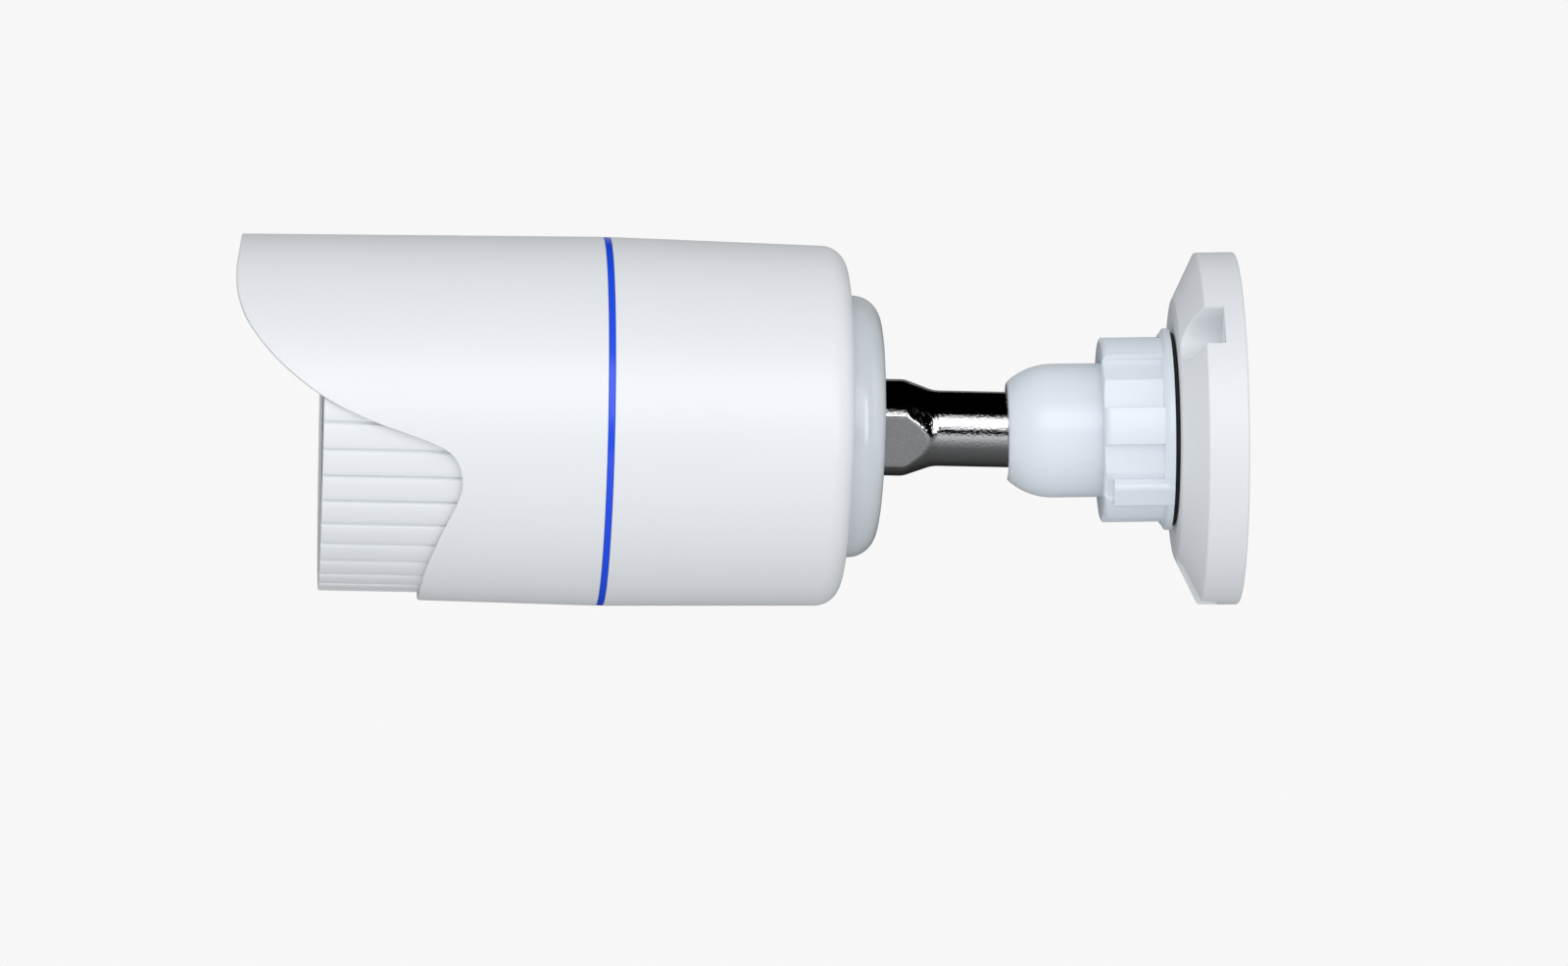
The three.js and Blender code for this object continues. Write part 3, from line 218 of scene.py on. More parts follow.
# %% Node and colour helpers
def srgb(code):
    """A hex colour as linear RGBA."""
    channels = [int(code[i : i + 2], 16) / 255 for i in (1, 3, 5)]
    return [c / 12.92 if c < 0.04045 else ((c + 0.055) / 1.055) ** 2.4 for c in channels] + [1.0]


def add(tree, kind, inputs=None, **settings):
    """Adds a shader node. An input's value is a plain value or another node's output."""
    made = tree.nodes.new("ShaderNode" + kind)
    for name, value in settings.items():
        setattr(made, name, value)
    for name, value in (inputs or {}).items():
        if isinstance(value, bpy.types.NodeSocket):
            tree.links.new(value, made.inputs[name])
        else:
            made.inputs[name].default_value = value
    return made


# %% [markdown]
# The world is the tent and the backdrop. The camera sees it pale all round; surfaces are lit by its
# half on the camera's side, with a weaker half behind, and it is hidden from reflections.

# %% World
BACKDROP = srgb("#f7f7f7")
TENT_COLOUR = srgb("#f9fcff")
TENT_FRONT = 0.90
TENT_BACK = 0.28

world = bpy.data.worlds.new("studio")
bpy.context.scene.world = world
world.use_nodes = True
world.cycles_visibility.glossy = False
tent = world.node_tree
tent.nodes.clear()
towards = add(tent, "SeparateXYZ", {0: add(tent, "TexCoord").outputs["Generated"]}).outputs["Y"]
strength = add(
    tent,
    "MapRange",
    {"Value": towards, "From Min": -0.2, "From Max": 0.2, "To Min": TENT_BACK, "To Max": TENT_FRONT},
    interpolation_type="SMOOTHSTEP",
)
lit = add(tent, "Background", {"Color": TENT_COLOUR, "Strength": strength.outputs[0]})
pale = add(tent, "Background", {"Color": BACKDROP, "Strength": 1.0})
looked_at = add(tent, "LightPath").outputs["Is Camera Ray"]
seen = add(tent, "MixShader", {0: looked_at, 1: lit.outputs[0], 2: pale.outputs[0]})
add(tent, "OutputWorld", {"Surface": seen.outputs[0]})

# %% [markdown]
# The table is a white sheet that is not lit but glows with a painted pool of front light: reflections
# see it bright near its front edge, 1.3 m out, and fading to dark under the object. That fade is what rounds the
# underside of the chrome.

# %% Table
TABLE_BELOW = 0.40
SHEET_BACK = -0.5
SHEET_FRONT = 1.3
SHEET_HALF = 0.3
SHEET_FADED = 0.6
SHEET_STOPS = [(0, 0.03), (0.28, 0.12), (0.40, 0.17), (0.52, 0.38), (0.70, 0.80), (0.985, 0.95), (1.0, 0.0)]

table_material = bpy.data.materials.new("studio_table")
table_material.use_nodes = True
table_tree = table_material.node_tree
table_tree.nodes.clear()
looked_at = add(table_tree, "LightPath").outputs["Is Camera Ray"]
glow = add(table_tree, "Emission", {"Color": BACKDROP, "Strength": 1.0})
place_on_table = add(table_tree, "SeparateXYZ", {0: add(table_tree, "TexCoord").outputs["Object"]})
ahead = place_on_table.outputs["Y"]
beside = add(table_tree, "Math", {0: place_on_table.outputs["X"]}, operation="ABSOLUTE")
narrow = add(
    table_tree,
    "MapRange",
    {"Value": beside.outputs[0], "From Min": SHEET_HALF, "From Max": SHEET_FADED, "To Min": 1, "To Max": 0},
)
share = add(table_tree, "MapRange", {"Value": ahead, "From Min": SHEET_BACK, "From Max": SHEET_FRONT})
# Painted light: the sheet glows through a ramp, dark under the object and bright near its front edge, in place of
# front light falling on it.
painted_falloff = add(table_tree, "ValToRGB", {"Fac": share.outputs[0]})
stops = painted_falloff.color_ramp.elements
stops[0].position, stops[0].color = SHEET_STOPS[0][0], [SHEET_STOPS[0][1]] * 3 + [1]
stops[1].position, stops[1].color = SHEET_STOPS[-1][0], [SHEET_STOPS[-1][1]] * 3 + [1]
for position, brightness in SHEET_STOPS[1:-1]:
    stops.new(position).color = [brightness] * 3 + [1]
sheet = add(table_tree, "Emission", {"Color": painted_falloff.outputs["Color"], "Strength": narrow.outputs[0]})
seen = add(table_tree, "MixShader", {0: looked_at, 1: sheet.outputs[0], 2: glow.outputs[0]})
add(table_tree, "OutputMaterial", {"Surface": seen.outputs[0]})
table_mesh = bmesh.new()
bmesh.ops.create_grid(table_mesh, x_segments=8, y_segments=8, size=6.0)
table_data = bpy.data.meshes.new("table")
table_mesh.to_mesh(table_data)
table_mesh.free()
table_data.materials.append(table_material)
table = bpy.data.objects.new("table", table_data)
table.location.z = cad_box[0].z - TABLE_BELOW
table.visible_diffuse = False
table.visible_shadow = False
bpy.context.scene.collection.objects.link(table)
print("table", round(TABLE_BELOW, 2), "m below the object")


# %% Soft boxes
def soft_box(name, bearing, height, distance, size, radiance, reflected=True):
    """An area light aimed at the object, seen only in reflections or only by matt surfaces.

    Bearing turns round Z from the camera's side, in degrees, towards +X."""
    middle = (cad_box[0] + cad_box[1]) / 2
    turn, lift = math.radians(bearing), math.radians(height)
    off = Vector((math.sin(turn) * math.cos(lift), math.cos(turn) * math.cos(lift), math.sin(lift)))
    light = bpy.data.lights.new(name, "AREA")
    light.shape = "RECTANGLE"
    light.size, light.size_y = size
    light.energy = radiance * math.pi * size[0] * size[1]
    made = bpy.data.objects.new(name, light)
    made.location = middle + off * distance
    made.rotation_euler = off.to_track_quat("Z", "Y").to_euler()
    made.visible_camera = False
    made.visible_diffuse = not reflected
    made.visible_glossy = reflected
    bpy.context.scene.collection.objects.link(made)
    print(name, "at", bearing, "degrees,", round(light.energy, 1), "W")


soft_box("key_box", 0, 34, 1.15, (0.5, 0.4), 2.0, reflected=False)
soft_box("front_box", 0, 17.5, 1.15, (1.1, 0.75), 1.9)
soft_box("wall_side_strip", -34, 5, 1.25, (0.24, 0.8), 6.0)
soft_box("head_side_box", 62, 10, 1.25, (0.3, 1.0), 0.8)
soft_box("wall_side_box", -80, 10, 1.25, (0.6, 1.0), 1.2)
soft_box("back_box", 180, 20, 1.4, (1.0, 0.5), 0.3)

# %% [markdown]
# ## Plastics
# The shells are moulded ABS with a satin, slightly orange-peeled skin; the nut and the dome come
# from a bluer, glossier batch, the base from a rougher mould, and the rear cap from a glossy, greyer
# batch. The trim band is blue acrylic, the bezel and lens parts black nylon, and the slip washer and
# ball seat acetal. One function makes them all, because they differ only in colour, gloss and
# texture. The skin's waves are 0.5 or 0.7 mm long and a few thousandths of a millimetre high, the
# colour drifts over 30 mm as the melt flowed, handling polishes outside edges a little, and the
# inside corners get a painted shade: a darker tone of each plastic's colour.

# %% Moulded plastic
def started(name):
    """A new material: itself, its tree, its main shader and its object coordinates."""
    material = bpy.data.materials.new(name)
    material.use_nodes = True
    tree = material.node_tree
    shader = tree.nodes["Principled BSDF"]
    return material, tree, shader, add(tree, "TexCoord").outputs["Object"]


def moulded(name, colour, drift, corner, roughness, skin_height, ior=1.54, skin_size=0.7):
    """An opaque moulded plastic, with sizes in mm."""
    material, tree, shader, where = started(name)
    flow = add(tree, "TexNoise", {"Vector": where, "Scale": 1 / (30 * MM), "Detail": 3.0})
    tint = add(tree, "MixRGB", {"Fac": flow.outputs["Fac"], "Color1": srgb(colour), "Color2": srgb(drift)})
    bend = add(tree, "NewGeometry").outputs["Pointiness"]
    # Painted shade: concave places, where the pointiness is low, are mixed up to half way towards the darker
    # corner colour.
    inside = add(tree, "MapRange", {"Value": bend, "From Min": 0.5, "From Max": 0.42, "To Max": 0.5})
    shaded_corners = add(
        tree,
        "MixRGB",
        {"Fac": inside.outputs[0], "Color1": tint.outputs["Color"], "Color2": srgb(corner)},
    )
    tree.links.new(shaded_corners.outputs["Color"], shader.inputs["Base Color"])
    patches = add(tree, "TexNoise", {"Vector": where, "Scale": 1 / (7 * MM), "Detail": 4.0})
    satin = add(
        tree,
        "MapRange",
        {"Value": patches.outputs["Fac"], "To Min": roughness - 0.05, "To Max": roughness + 0.05},
    )
    rubbed = add(tree, "MapRange", {"Value": bend, "From Min": 0.52, "From Max": 0.62, "To Max": -0.12})
    skin = add(tree, "Math", {0: satin.outputs[0], 1: rubbed.outputs[0]}, operation="ADD")
    tree.links.new(skin.outputs[0], shader.inputs["Roughness"])
    peel = add(tree, "TexNoise", {"Vector": where, "Scale": 1 / (skin_size * MM), "Detail": 2.0})
    bump = add(tree, "Bump", {"Height": peel.outputs["Fac"], "Distance": skin_height * MM, "Strength": 1.0})
    tree.links.new(bump.outputs["Normal"], shader.inputs["Normal"])
    shader.inputs["IOR"].default_value = ior
    return material


# The satin shells: the light rolls off them slowly, with no clear highlight.
white_abs = moulded("white_abs", "#f5f6f7", "#f2f3f5", "#d7dce2", 0.42, 0.004)
# The nut and dome: a cooler white with a soft highlight on each land.
bluish_white_abs = moulded("bluish_white_abs", "#f1f7fc", "#edf4fa", "#ccd5de", 0.32, 0.004)
# The wall base: the flattest of the whites, a shade warmer.
white_abs_base = moulded("white_abs_base", "#f2f3f5", "#eeeff1", "#d2d7dc", 0.48, 0.008, skin_size=0.5)
# The rear cap: greyer, with one clear upright highlight.
grey_white_abs = moulded("grey_white_abs", "#dde1e4", "#d8dde0", "#b9bfc5", 0.22, 0.003)
# The trim band: a saturated, glossy line between two white shells.
blue_acrylic = moulded("blue_acrylic", "#1c54f6", "#184cec", "#0f2fa8", 0.22, 0.002, ior=1.49)
# The bezel and lens parts: a dull black that keeps stray light off the lens.
black_nylon = moulded("black_nylon", "#232427", "#1d1e21", "#101113", 0.5, 0.010)
# The washer and ball seat: a waxy, slightly yellow white.
white_acetal = moulded("white_acetal", "#e5e3db", "#dedcd3", "#c4c1b6", 0.42, 0.004, ior=1.48)
print("plastics:", white_abs.name, white_abs_base.name, grey_white_abs.name, blue_acrylic.name)

# %% [markdown]
# ## Rubber and foam
# The seals are black EPDM rubber, which is matt, a little grey with bloom, and pitted by its mould;
# the lens shroud is open foam. Both are dark dielectrics whose bump does most of the work.

# %% Rubber and foam
def rubbery(name, colour, bloom, grain, height, roughness):
    """A matt black elastomer, its grain and pit height in mm."""
    material, tree, shader, where = started(name)
    clouds = add(tree, "TexNoise", {"Vector": where, "Scale": 1 / (5 * MM), "Detail": 5.0})
    tint = add(tree, "MixRGB", {"Fac": clouds.outputs["Fac"], "Color1": srgb(colour), "Color2": srgb(bloom)})
    tree.links.new(tint.outputs["Color"], shader.inputs["Base Color"])
    dull = add(
        tree,
        "MapRange",
        {"Value": clouds.outputs["Fac"], "To Min": roughness - 0.1, "To Max": roughness},
    )
    tree.links.new(dull.outputs[0], shader.inputs["Roughness"])
    pits = add(tree, "TexVoronoi", {"Vector": where, "Scale": 1 / (grain * MM)})
    bump = add(tree, "Bump", {"Height": pits.outputs["Distance"], "Distance": height * MM, "Strength": 1.0})
    tree.links.new(bump.outputs["Normal"], shader.inputs["Normal"])
    shader.inputs["IOR"].default_value = 1.5
    return material


# The seals: a thin dark line between two pieces, with no shine.
epdm_rubber = rubbery("epdm_rubber", "#141517", "#202124", 0.35, 0.02, 0.85)
# The shroud: the blackest surface behind the window, as its cells trap the light.
open_foam = rubbery("open_foam", "#1b1c1e", "#2a2b2e", 0.6, 0.25, 0.95)
print("elastomers:", epdm_rubber.name, open_foam.name)

# %% [markdown]
# ## Metals
# The stem is a zinc casting, polished and chromed. Its polish follows the casting, so the mirror
# has faint half-millimetre waves that break up the edge of the reflected soft box; its wrench flats
# keep the grain of the casting under the chrome. The hidden fasteners are zinc-plated steel, and the
# lamp carrier is turned aluminium with fine lines from the tool.

# %% Chrome
def metal(name, colour, streak, roughness, spread, wave, height, along=(1, 1, 1)):
    """A bare metal, its surface waves and their height in mm, stretched along an axis by tool marks."""
    material, tree, shader, where = started(name)
    lines = add(tree, "Mapping", {"Vector": where, "Scale": along})
    marks = add(tree, "TexNoise", {"Vector": lines.outputs[0], "Scale": 1 / (wave * MM), "Detail": 4.0})
    tint = add(tree, "MixRGB", {"Fac": marks.outputs["Fac"], "Color1": srgb(colour), "Color2": srgb(streak)})
    tree.links.new(tint.outputs["Color"], shader.inputs["Base Color"])
    gloss = add(tree, "TexNoise", {"Vector": where, "Scale": 1 / (3 * MM), "Detail": 5.0})
    haze = add(
        tree,
        "MapRange",
        {"Value": gloss.outputs["Fac"], "To Min": roughness, "To Max": roughness + spread},
    )
    tree.links.new(haze.outputs[0], shader.inputs["Roughness"])
    bump = add(tree, "Bump", {"Height": marks.outputs["Fac"], "Distance": height * MM, "Strength": 1.0})
    tree.links.new(bump.outputs["Normal"], shader.inputs["Normal"])
    shader.inputs["Metallic"].default_value = 1.0
    return material


# The stem: black and white bands whose edges break up, drawn with higher waves than real plating has.
chromed_zinc = metal("chromed_zinc", "#c8c9cb", "#bfc1c3", 0.05, 0.05, 0.50, 0.05)
# The wrench flats: an even, grainy grey next to the bright bands.
cast_chrome = metal("cast_chrome", "#cbccce", "#9fa2a6", 0.36, 0.10, 0.40, 0.055)
# The fasteners: a bluish grey with a soft shine.
plated_steel = metal("plated_steel", "#b9bcc2", "#a4a8b0", 0.28, 0.12, 0.30, 0.004)
# The lamp carrier: pale, with fine lines from the tool.
turned_aluminium = metal("turned_aluminium", "#c3c6ca", "#b2b5b9", 0.32, 0.12, 0.15, 0.006, along=(6, 1, 1))
print("metals:", chromed_zinc.name, cast_chrome.name, plated_steel.name, turned_aluminium.name)

# %% [markdown]
# ## Glass, lamps and boards
# The window is clear acrylic with a faint smoke; the lens is coated glass, whose coating gives it a
# thin violet sheen; the lamps are infrared diodes cast in a nearly black violet resin that
# still lets some light in. The boards are glass-fibre laminate under a solder mask, through which
# the copper tracks show as slightly raised, lighter lines.

# %% Clear materials
def clear(name, colour, through, ior, roughness, sheen=None):
    """A glass or resin that lets light in."""
    material, tree, shader, where = started(name)
    smears = add(tree, "TexNoise", {"Vector": where, "Scale": 1 / (9 * MM), "Detail": 5.0})
    wiped = add(
        tree, "MapRange", {"Value": smears.outputs["Fac"], "To Min": roughness, "To Max": roughness + 0.03}
    )
    tree.links.new(wiped.outputs[0], shader.inputs["Roughness"])
    shader.inputs["Base Color"].default_value = srgb(colour)
    shader.inputs["Transmission Weight"].default_value = through
    shader.inputs["IOR"].default_value = ior
    if sheen:
        shader.inputs["Coat Weight"].default_value = 1.0
        shader.inputs["Coat Roughness"].default_value = 0.02
        shader.inputs["Coat IOR"].default_value = 1.9
        shader.inputs["Coat Tint"].default_value = srgb(sheen)
    return material


# The window: almost unseen, apart from a faint smoke and a weak reflection.
window_acrylic = clear("window_acrylic", "#cfd6da", 1.0, 1.49, 0.0)
# The lens: a dark bead with a violet sheen.
coated_glass = clear("coated_glass", "#26303c", 0.35, 1.62, 0.0, sheen="#b9a2ff")
# The lamps: nearly black domes.
diode_resin = clear("diode_resin", "#2a1c33", 0.35, 1.55, 0.03)
# The infrared-cut filter: a pale cyan pane.
filter_glass = clear("filter_glass", "#7fc0c9", 0.6, 1.52, 0.0)
print("clear:", window_acrylic.name, coated_glass.name, diode_resin.name, filter_glass.name)


# %% Circuit boards
def laminate(name, mask, track, pitch):
    """A board with tracks under its solder mask, the tracks' pitch in mm."""
    material, tree, shader, where = started(name)
    cells = add(tree, "TexVoronoi", {"Vector": where, "Scale": 1 / (3 * pitch * MM)}, distance="CHEBYCHEV")
    lines = add(tree, "TexWave", {"Vector": cells.outputs["Position"], "Scale": 1 / (pitch * MM)})
    edge = add(tree, "TexWave", {"Vector": where, "Scale": 0.16 / (pitch * MM), "Distortion": 3.0})
    copper = add(tree, "Math", {0: edge.outputs["Fac"], 1: lines.outputs["Fac"]}, operation="MULTIPLY")
    raised = add(tree, "MapRange", {"Value": copper.outputs[0], "From Min": 0.35, "From Max": 0.45})
    tint = add(tree, "MixRGB", {"Fac": raised.outputs[0], "Color1": srgb(mask), "Color2": srgb(track)})
    tree.links.new(tint.outputs["Color"], shader.inputs["Base Color"])
    bump = add(tree, "Bump", {"Height": raised.outputs[0], "Distance": 0.03 * MM, "Strength": 1.0})
    tree.links.new(bump.outputs["Normal"], shader.inputs["Normal"])
    gloss = add(tree, "MapRange", {"Value": raised.outputs[0], "To Min": 0.36, "To Max": 0.28})
    tree.links.new(gloss.outputs[0], shader.inputs["Roughness"])
    shader.inputs["IOR"].default_value = 1.5
    return material


# The boards: dark green, with tracks drawn far coarser than real ones and only just lighter.
solder_mask = laminate("solder_mask", "#155034", "#1b5b3c", 0.8)
print("boards:", solder_mask.name)

# %% [markdown]
# ## Finishes by slot
# The record names a finish for each node. Nodes that stay as the frame has them, mostly inside the
# head, only get the matching material; the pieces below take theirs from the same table.

# %% Finishes
finishes = {
    "body_white": white_abs,
    "base_white": white_abs_base,
    "cap_grey_white": grey_white_abs,
    "blue_trim": blue_acrylic,
    "black_plastic": black_nylon,
    "acetal": white_acetal,
    "black_rubber": epdm_rubber,
    "black_foam": open_foam,
    "chrome": chromed_zinc,
    "steel": plated_steel,
    "aluminium": turned_aluminium,
    "window_glass": window_acrylic,
    "lens_glass": coated_glass,
    "dark_resin": diode_resin,
    "circuit_board": solder_mask,
}
for node in frame["nodes"].values():
    for material_slot in node.material_slots:
        material_slot.material = finishes[material_slot.material.name]
frame["nodes"]["ir_cut_filter"].material_slots[0].material = filter_glass
print(len(finishes), "finishes")

# %% [markdown]
# ## The wall base
# A round moulding with a conical face and a post that the swivel turns on. Three pockets sink the
# wall screws into the cone, and each opens through the rim. The cone and post are one section;
# the pockets are carved out of it. A boolean alone would leave knife edges, so the cutter itself
# flares by a lip's radius where it passes through the surface, and the lip comes out rounded.

# %% Carving
def carved(mesh, cutters, operation="DIFFERENCE"):
    """The bmesh that is left when closed cutters are taken out of another, or fused with it by UNION."""
    shapes = []
    for source in (mesh, *cutters):
        bmesh.ops.remove_doubles(source, verts=source.verts, dist=1e-7)
        bmesh.ops.recalc_face_normals(source, faces=source.faces)
        data = bpy.data.meshes.new("carving")
        source.to_mesh(data)
        source.free()
        shapes.append(bpy.data.objects.new("carving", data))
        bpy.context.scene.collection.objects.link(shapes[-1])
    for cutter in shapes[1:]:
        modifier = shapes[0].modifiers.new("carve", "BOOLEAN")
        modifier.solver = "EXACT"
        modifier.operation = operation
        modifier.object = cutter
    left = bmesh.new()
    left.from_mesh(shapes[0].evaluated_get(bpy.context.evaluated_depsgraph_get()).to_mesh())
    for shape in shapes:
        bpy.data.objects.remove(shape)
    # An exact cut can lose a sliver facet, which leaves a gap of three or four edges.
    bmesh.ops.holes_fill(left, edges=[edge for edge in left.edges if edge.is_boundary], sides=4)
    return left


LIP = 0.3
LIP_STEPS = 5


def lipped_cutter(outline, bottom, top, surface, place):
    """A closed cutter that widens by a lip at a surface. The outline and the surface are functions."""
    def edge_row(step):
        turn = math.pi / 2 * step / LIP_STEPS
        grown = outline(LIP * (1 - math.cos(turn)))
        return [(a, b, surface(a, b) - LIP * (1 - math.sin(turn))) for a, b in grown]

    low = [(a, b, bottom) for a, b in outline(0)]
    high = [(a, b, top) for a, b in outline(LIP)]
    mesh = bmesh.new()
    rows = []
    for points in (low, *(edge_row(step) for step in range(LIP_STEPS + 1)), high):
        rows.append([mesh.verts.new(place @ Vector(point) * MM) for point in points])
    for row, above in zip(rows, rows[1:]):
        for j in range(len(row)):
            k = (j + 1) % len(row)
            mesh.faces.new((row[j], row[k], above[k], above[j]))
    mesh.faces.new(rows[0])
    mesh.faces.new(rows[-1])
    return mesh


# %% Wall base
base = span("base_plate", WALL)
RIM_TOP = 7.5
CONE_TOP = 11.8
CONE_INNER = 24.8
POST_OUT = 15.7
WEB_BACK = 17.1
CHAMBER_OUT = 12.8
GASKET_IN = 17.1
GASKET_OUT = 23.1
GASKET_DEEP = 1.5
POCKET_MIDDLE = 28.9
POCKET_HALF = 4.125
HOLE_OUT = 2.25
HOLE_CHAMFER = 0.3
seats = [mount for mount in frame["record"]["mounts"] if mount["name"].startswith("screw_seat")]
rim = base.out * TRUE


def cone_height(out):
    """The base's front face at a distance from its axis."""
    share = min(max((rim - out) / (rim - CONE_INNER), 0), 1)
    return RIM_TOP + share * (CONE_TOP - RIM_TOP)


def cone_at(a, b):
    return cone_height(math.hypot(a, b))


def pocket_outline(centre):
    def outline(grown):
        half = POCKET_HALF + grown
        bend = [math.pi / 2 + math.pi * i / 24 for i in range(25)]
        inner = [(centre + half * math.cos(a), half * math.sin(a)) for a in bend]
        mouth = math.sqrt(rim**2 - POCKET_HALF**2)
        flare = [(mouth - 0.4, 0), (mouth - 0.2, 0.05), (mouth - 0.05, 0.2), (mouth + 3, 0.3)]
        low = [(u, -half - w) for u, w in flare]
        high = [(u, half + w) for u, w in reversed(flare)]
        return inner + low + high
    return outline


def base_cutters():
    cutters = []
    for seat in seats:
        _, y, z = (c / MM for c in seat["pos_m"])
        turn = math.atan2(z, y)
        facing = Matrix.Rotation(turn, 4, "X")
        place = facing @ Matrix(((0, 0, 1, 0), (1, 0, 0, 0), (0, 1, 0, 0), (0, 0, 0, 1)))
        floor = seat["pos_m"][0] / MM
        cutters.append(lipped_cutter(pocket_outline(POCKET_MIDDLE), floor, CONE_TOP + 4, cone_at, place))
        wide = HOLE_OUT + HOLE_CHAMFER
        drill = [(-1, 0), (-1, HOLE_OUT), (floor - 0.25, HOLE_OUT)]
        drill += [(floor + 0.05, wide), (floor + 1, wide), (floor + 1, 0)]
        hole = swept(drill, 32)
        outwards = facing @ Matrix.Translation((0, POCKET_MIDDLE * MM, 0))
        bmesh.ops.transform(hole, matrix=outwards, verts=hole.verts)
        cutters.append(hole)
    return cutters


base_section = rounded(
    [
        (0, rim, 0.5),
        (RIM_TOP, rim, 0.45),
        (CONE_TOP, CONE_INNER, 0.6),
        (CONE_TOP, POST_OUT, 0.3),
        (base.front, POST_OUT, 0.5),
        (base.front, base.hole, 0.3),
        (WEB_BACK, base.hole, 0.3),
        (WEB_BACK, CHAMBER_OUT, 0.4),
        (0, CHAMBER_OUT, 0.4),
        (0, GASKET_IN, 0.2),
        (GASKET_DEEP, GASKET_IN, 0.2),
        (GASKET_DEEP, GASKET_OUT, 0.2),
        (0, GASKET_OUT, 0.2),
    ]
)
base_mesh = carved(swept(base_section, 192), base_cutters())
piece("wall_base", base_mesh, WALL, "wall_base", "base_white", ["base_plate"])

# %% [markdown]
# ## Rubber rings
# The gasket, the seals and the grommets are moulded or cut rings. Each is a rectangle or an L in
# section with rounded corners, so one loop makes the plain ones straight from the nodes' sizes.

# %% Rubber rings
def ring(name, section, place, body, slot, replaces, turns=192):
    """A round piece from its section in mm."""
    return piece(name, swept(section, turns), place, body, slot, replaces)


plain_rings = [
    ("wall_gasket_ring", "wall_gasket", WALL, "wall_base", 0.3, 1.0),
    # The post's seal is a real black ring, drawn 1.5% wider than its node; its black also stands in as painted
    # shade for the dark gap between the nut's flange and the base.
    ("seal_ring", "post_seal_ring", WALL, "wall_base", 0.15, 1.015),
    ("cap_seal_ring", "cap_seal", HEAD, "head", 0.3, 1.0),
    ("barrel_o_ring", "barrel_seal", HEAD, "head", 0.45, 0.998),
    ("window_o_ring", "window_seal", HEAD, "head", 0.35, 1.0),
]
for name, node, place, body, radius, shrink in plain_rings:
    size = span(node, place)
    corners = [(size.back, size.out), (size.front, size.out), (size.front, size.hole), (size.back, size.hole)]
    section = rounded([(x, r * shrink, radius) for x, r in corners])
    ring(name, section, place, body, "black_rubber", [node])


def collar(node, place, flange_at_back, plug_out, reach):
    """An L-shaped grommet: a flange, and a plug that fills the hole."""
    size = span(node, place)
    near, far = (size.back, size.front) if flange_at_back else (size.front, size.back)
    shoulder = near + math.copysign(reach, far - near)
    corners = [(near, size.hole), (near, size.out), (shoulder, size.out)]
    corners += [(shoulder, plug_out), (far, plug_out), (far, size.hole)]
    return rounded([(x, r, 0.3) for x, r in corners])


grommet_section = collar("cable_grommet", WALL, True, 4.9, 1.2)
ring("grommet", grommet_section, WALL, "wall_base", "black_rubber", ["cable_grommet"])
bush_section = collar("stem_cable_bush", STEM, False, 3.3, 1.0)
ring("stem_bush", bush_section, STEM, "stem", "black_rubber", ["stem_cable_bush"])

# %% [markdown]
# ## The ring nut
# A moulded nut with six broad lands to grip, two facets between each pair, a flange at the wall and
# one lug. All of that can be said as one radius for each angle and each distance along the axis,
# so the nut is a sweep whose section changes with the angle. The angles crowd together where a
# land or the lug starts, which keeps those corners crisp with few faces elsewhere.

# %% Nut profile
nut = span("lock_nut", WALL)
NUT_OUT = 18.1
LAND_HALF = 11.6
LAND_MIDDLE = 1.9
FACET_FOOT = 17.0
CREASE = 17.6
FLANGE_OUT = 19.2
LUG_TURN = -42
LUG_TOP = 19.3
LUG_HALF = 2.8
LUG_FRONT = nut.front - 1.65
NUT_EDGE = 1.4


def smooth(value, low, high):
    """0 below low and 1 above high, with a smooth ramp between."""
    share = min(max((value - low) / (high - low), 0), 1)
    return share * share * (3 - 2 * share)


def least(a, b, blend):
    """The smaller of two values, rounded where they cross."""
    share = min(max(0.5 + (b - a) / (2 * blend), 0), 1)
    return b + (a - b) * share - blend * share * (1 - share)


def most(a, b, blend):
    return -least(-a, -b, blend)


def off_by(angle, middle):
    """The unsigned turn in degrees from a middle."""
    return abs((angle - middle + 180) % 360 - 180)


def grip_out(angle):
    away = min(off_by(angle, LAND_MIDDLE + 60 * i) for i in range(6))
    foot = Vector((math.cos(math.radians(LAND_HALF)), math.sin(math.radians(LAND_HALF)))) * FACET_FOOT
    crease = Vector((math.cos(math.radians(30)), math.sin(math.radians(30)))) * CREASE
    across = Vector((crease.y - foot.y, foot.x - crease.x)).normalized()
    facing = across.x * math.cos(math.radians(away)) + across.y * math.sin(math.radians(away))
    facet = foot.dot(across) / facing
    return facet + (NUT_OUT - facet) * smooth(-away, -LAND_HALF - 0.3, -LAND_HALF + 0.6)


def lug_out(angle):
    away = math.radians(max(off_by(angle, LUG_TURN), 0.01))
    top = least(LUG_TOP / math.cos(away), 21.5 / (math.cos(away) + math.sin(away)), 0.15)
    return least(top, LUG_HALF / math.sin(away), 0.15)


def nut_out(x, angle):
    slope = NUT_OUT + (FLANGE_OUT - NUT_OUT) * (1 - smooth(x, nut.back + 1.0, nut.back + 1.9))
    flange = slope if x < nut.back + 2 else 0
    out = most(grip_out(angle), flange, 0.15)
    lug = lug_out(angle) * (1 - smooth(x, LUG_FRONT - 0.15, LUG_FRONT + 0.15))
    out = max(out, lug) if lug > 10 else out
    if x > nut.front - NUT_EDGE:
        edge = nut.front - NUT_EDGE
        out = min(out, NUT_OUT - NUT_EDGE + math.sqrt(max(NUT_EDGE**2 - (x - edge) ** 2, 0)))
    return out


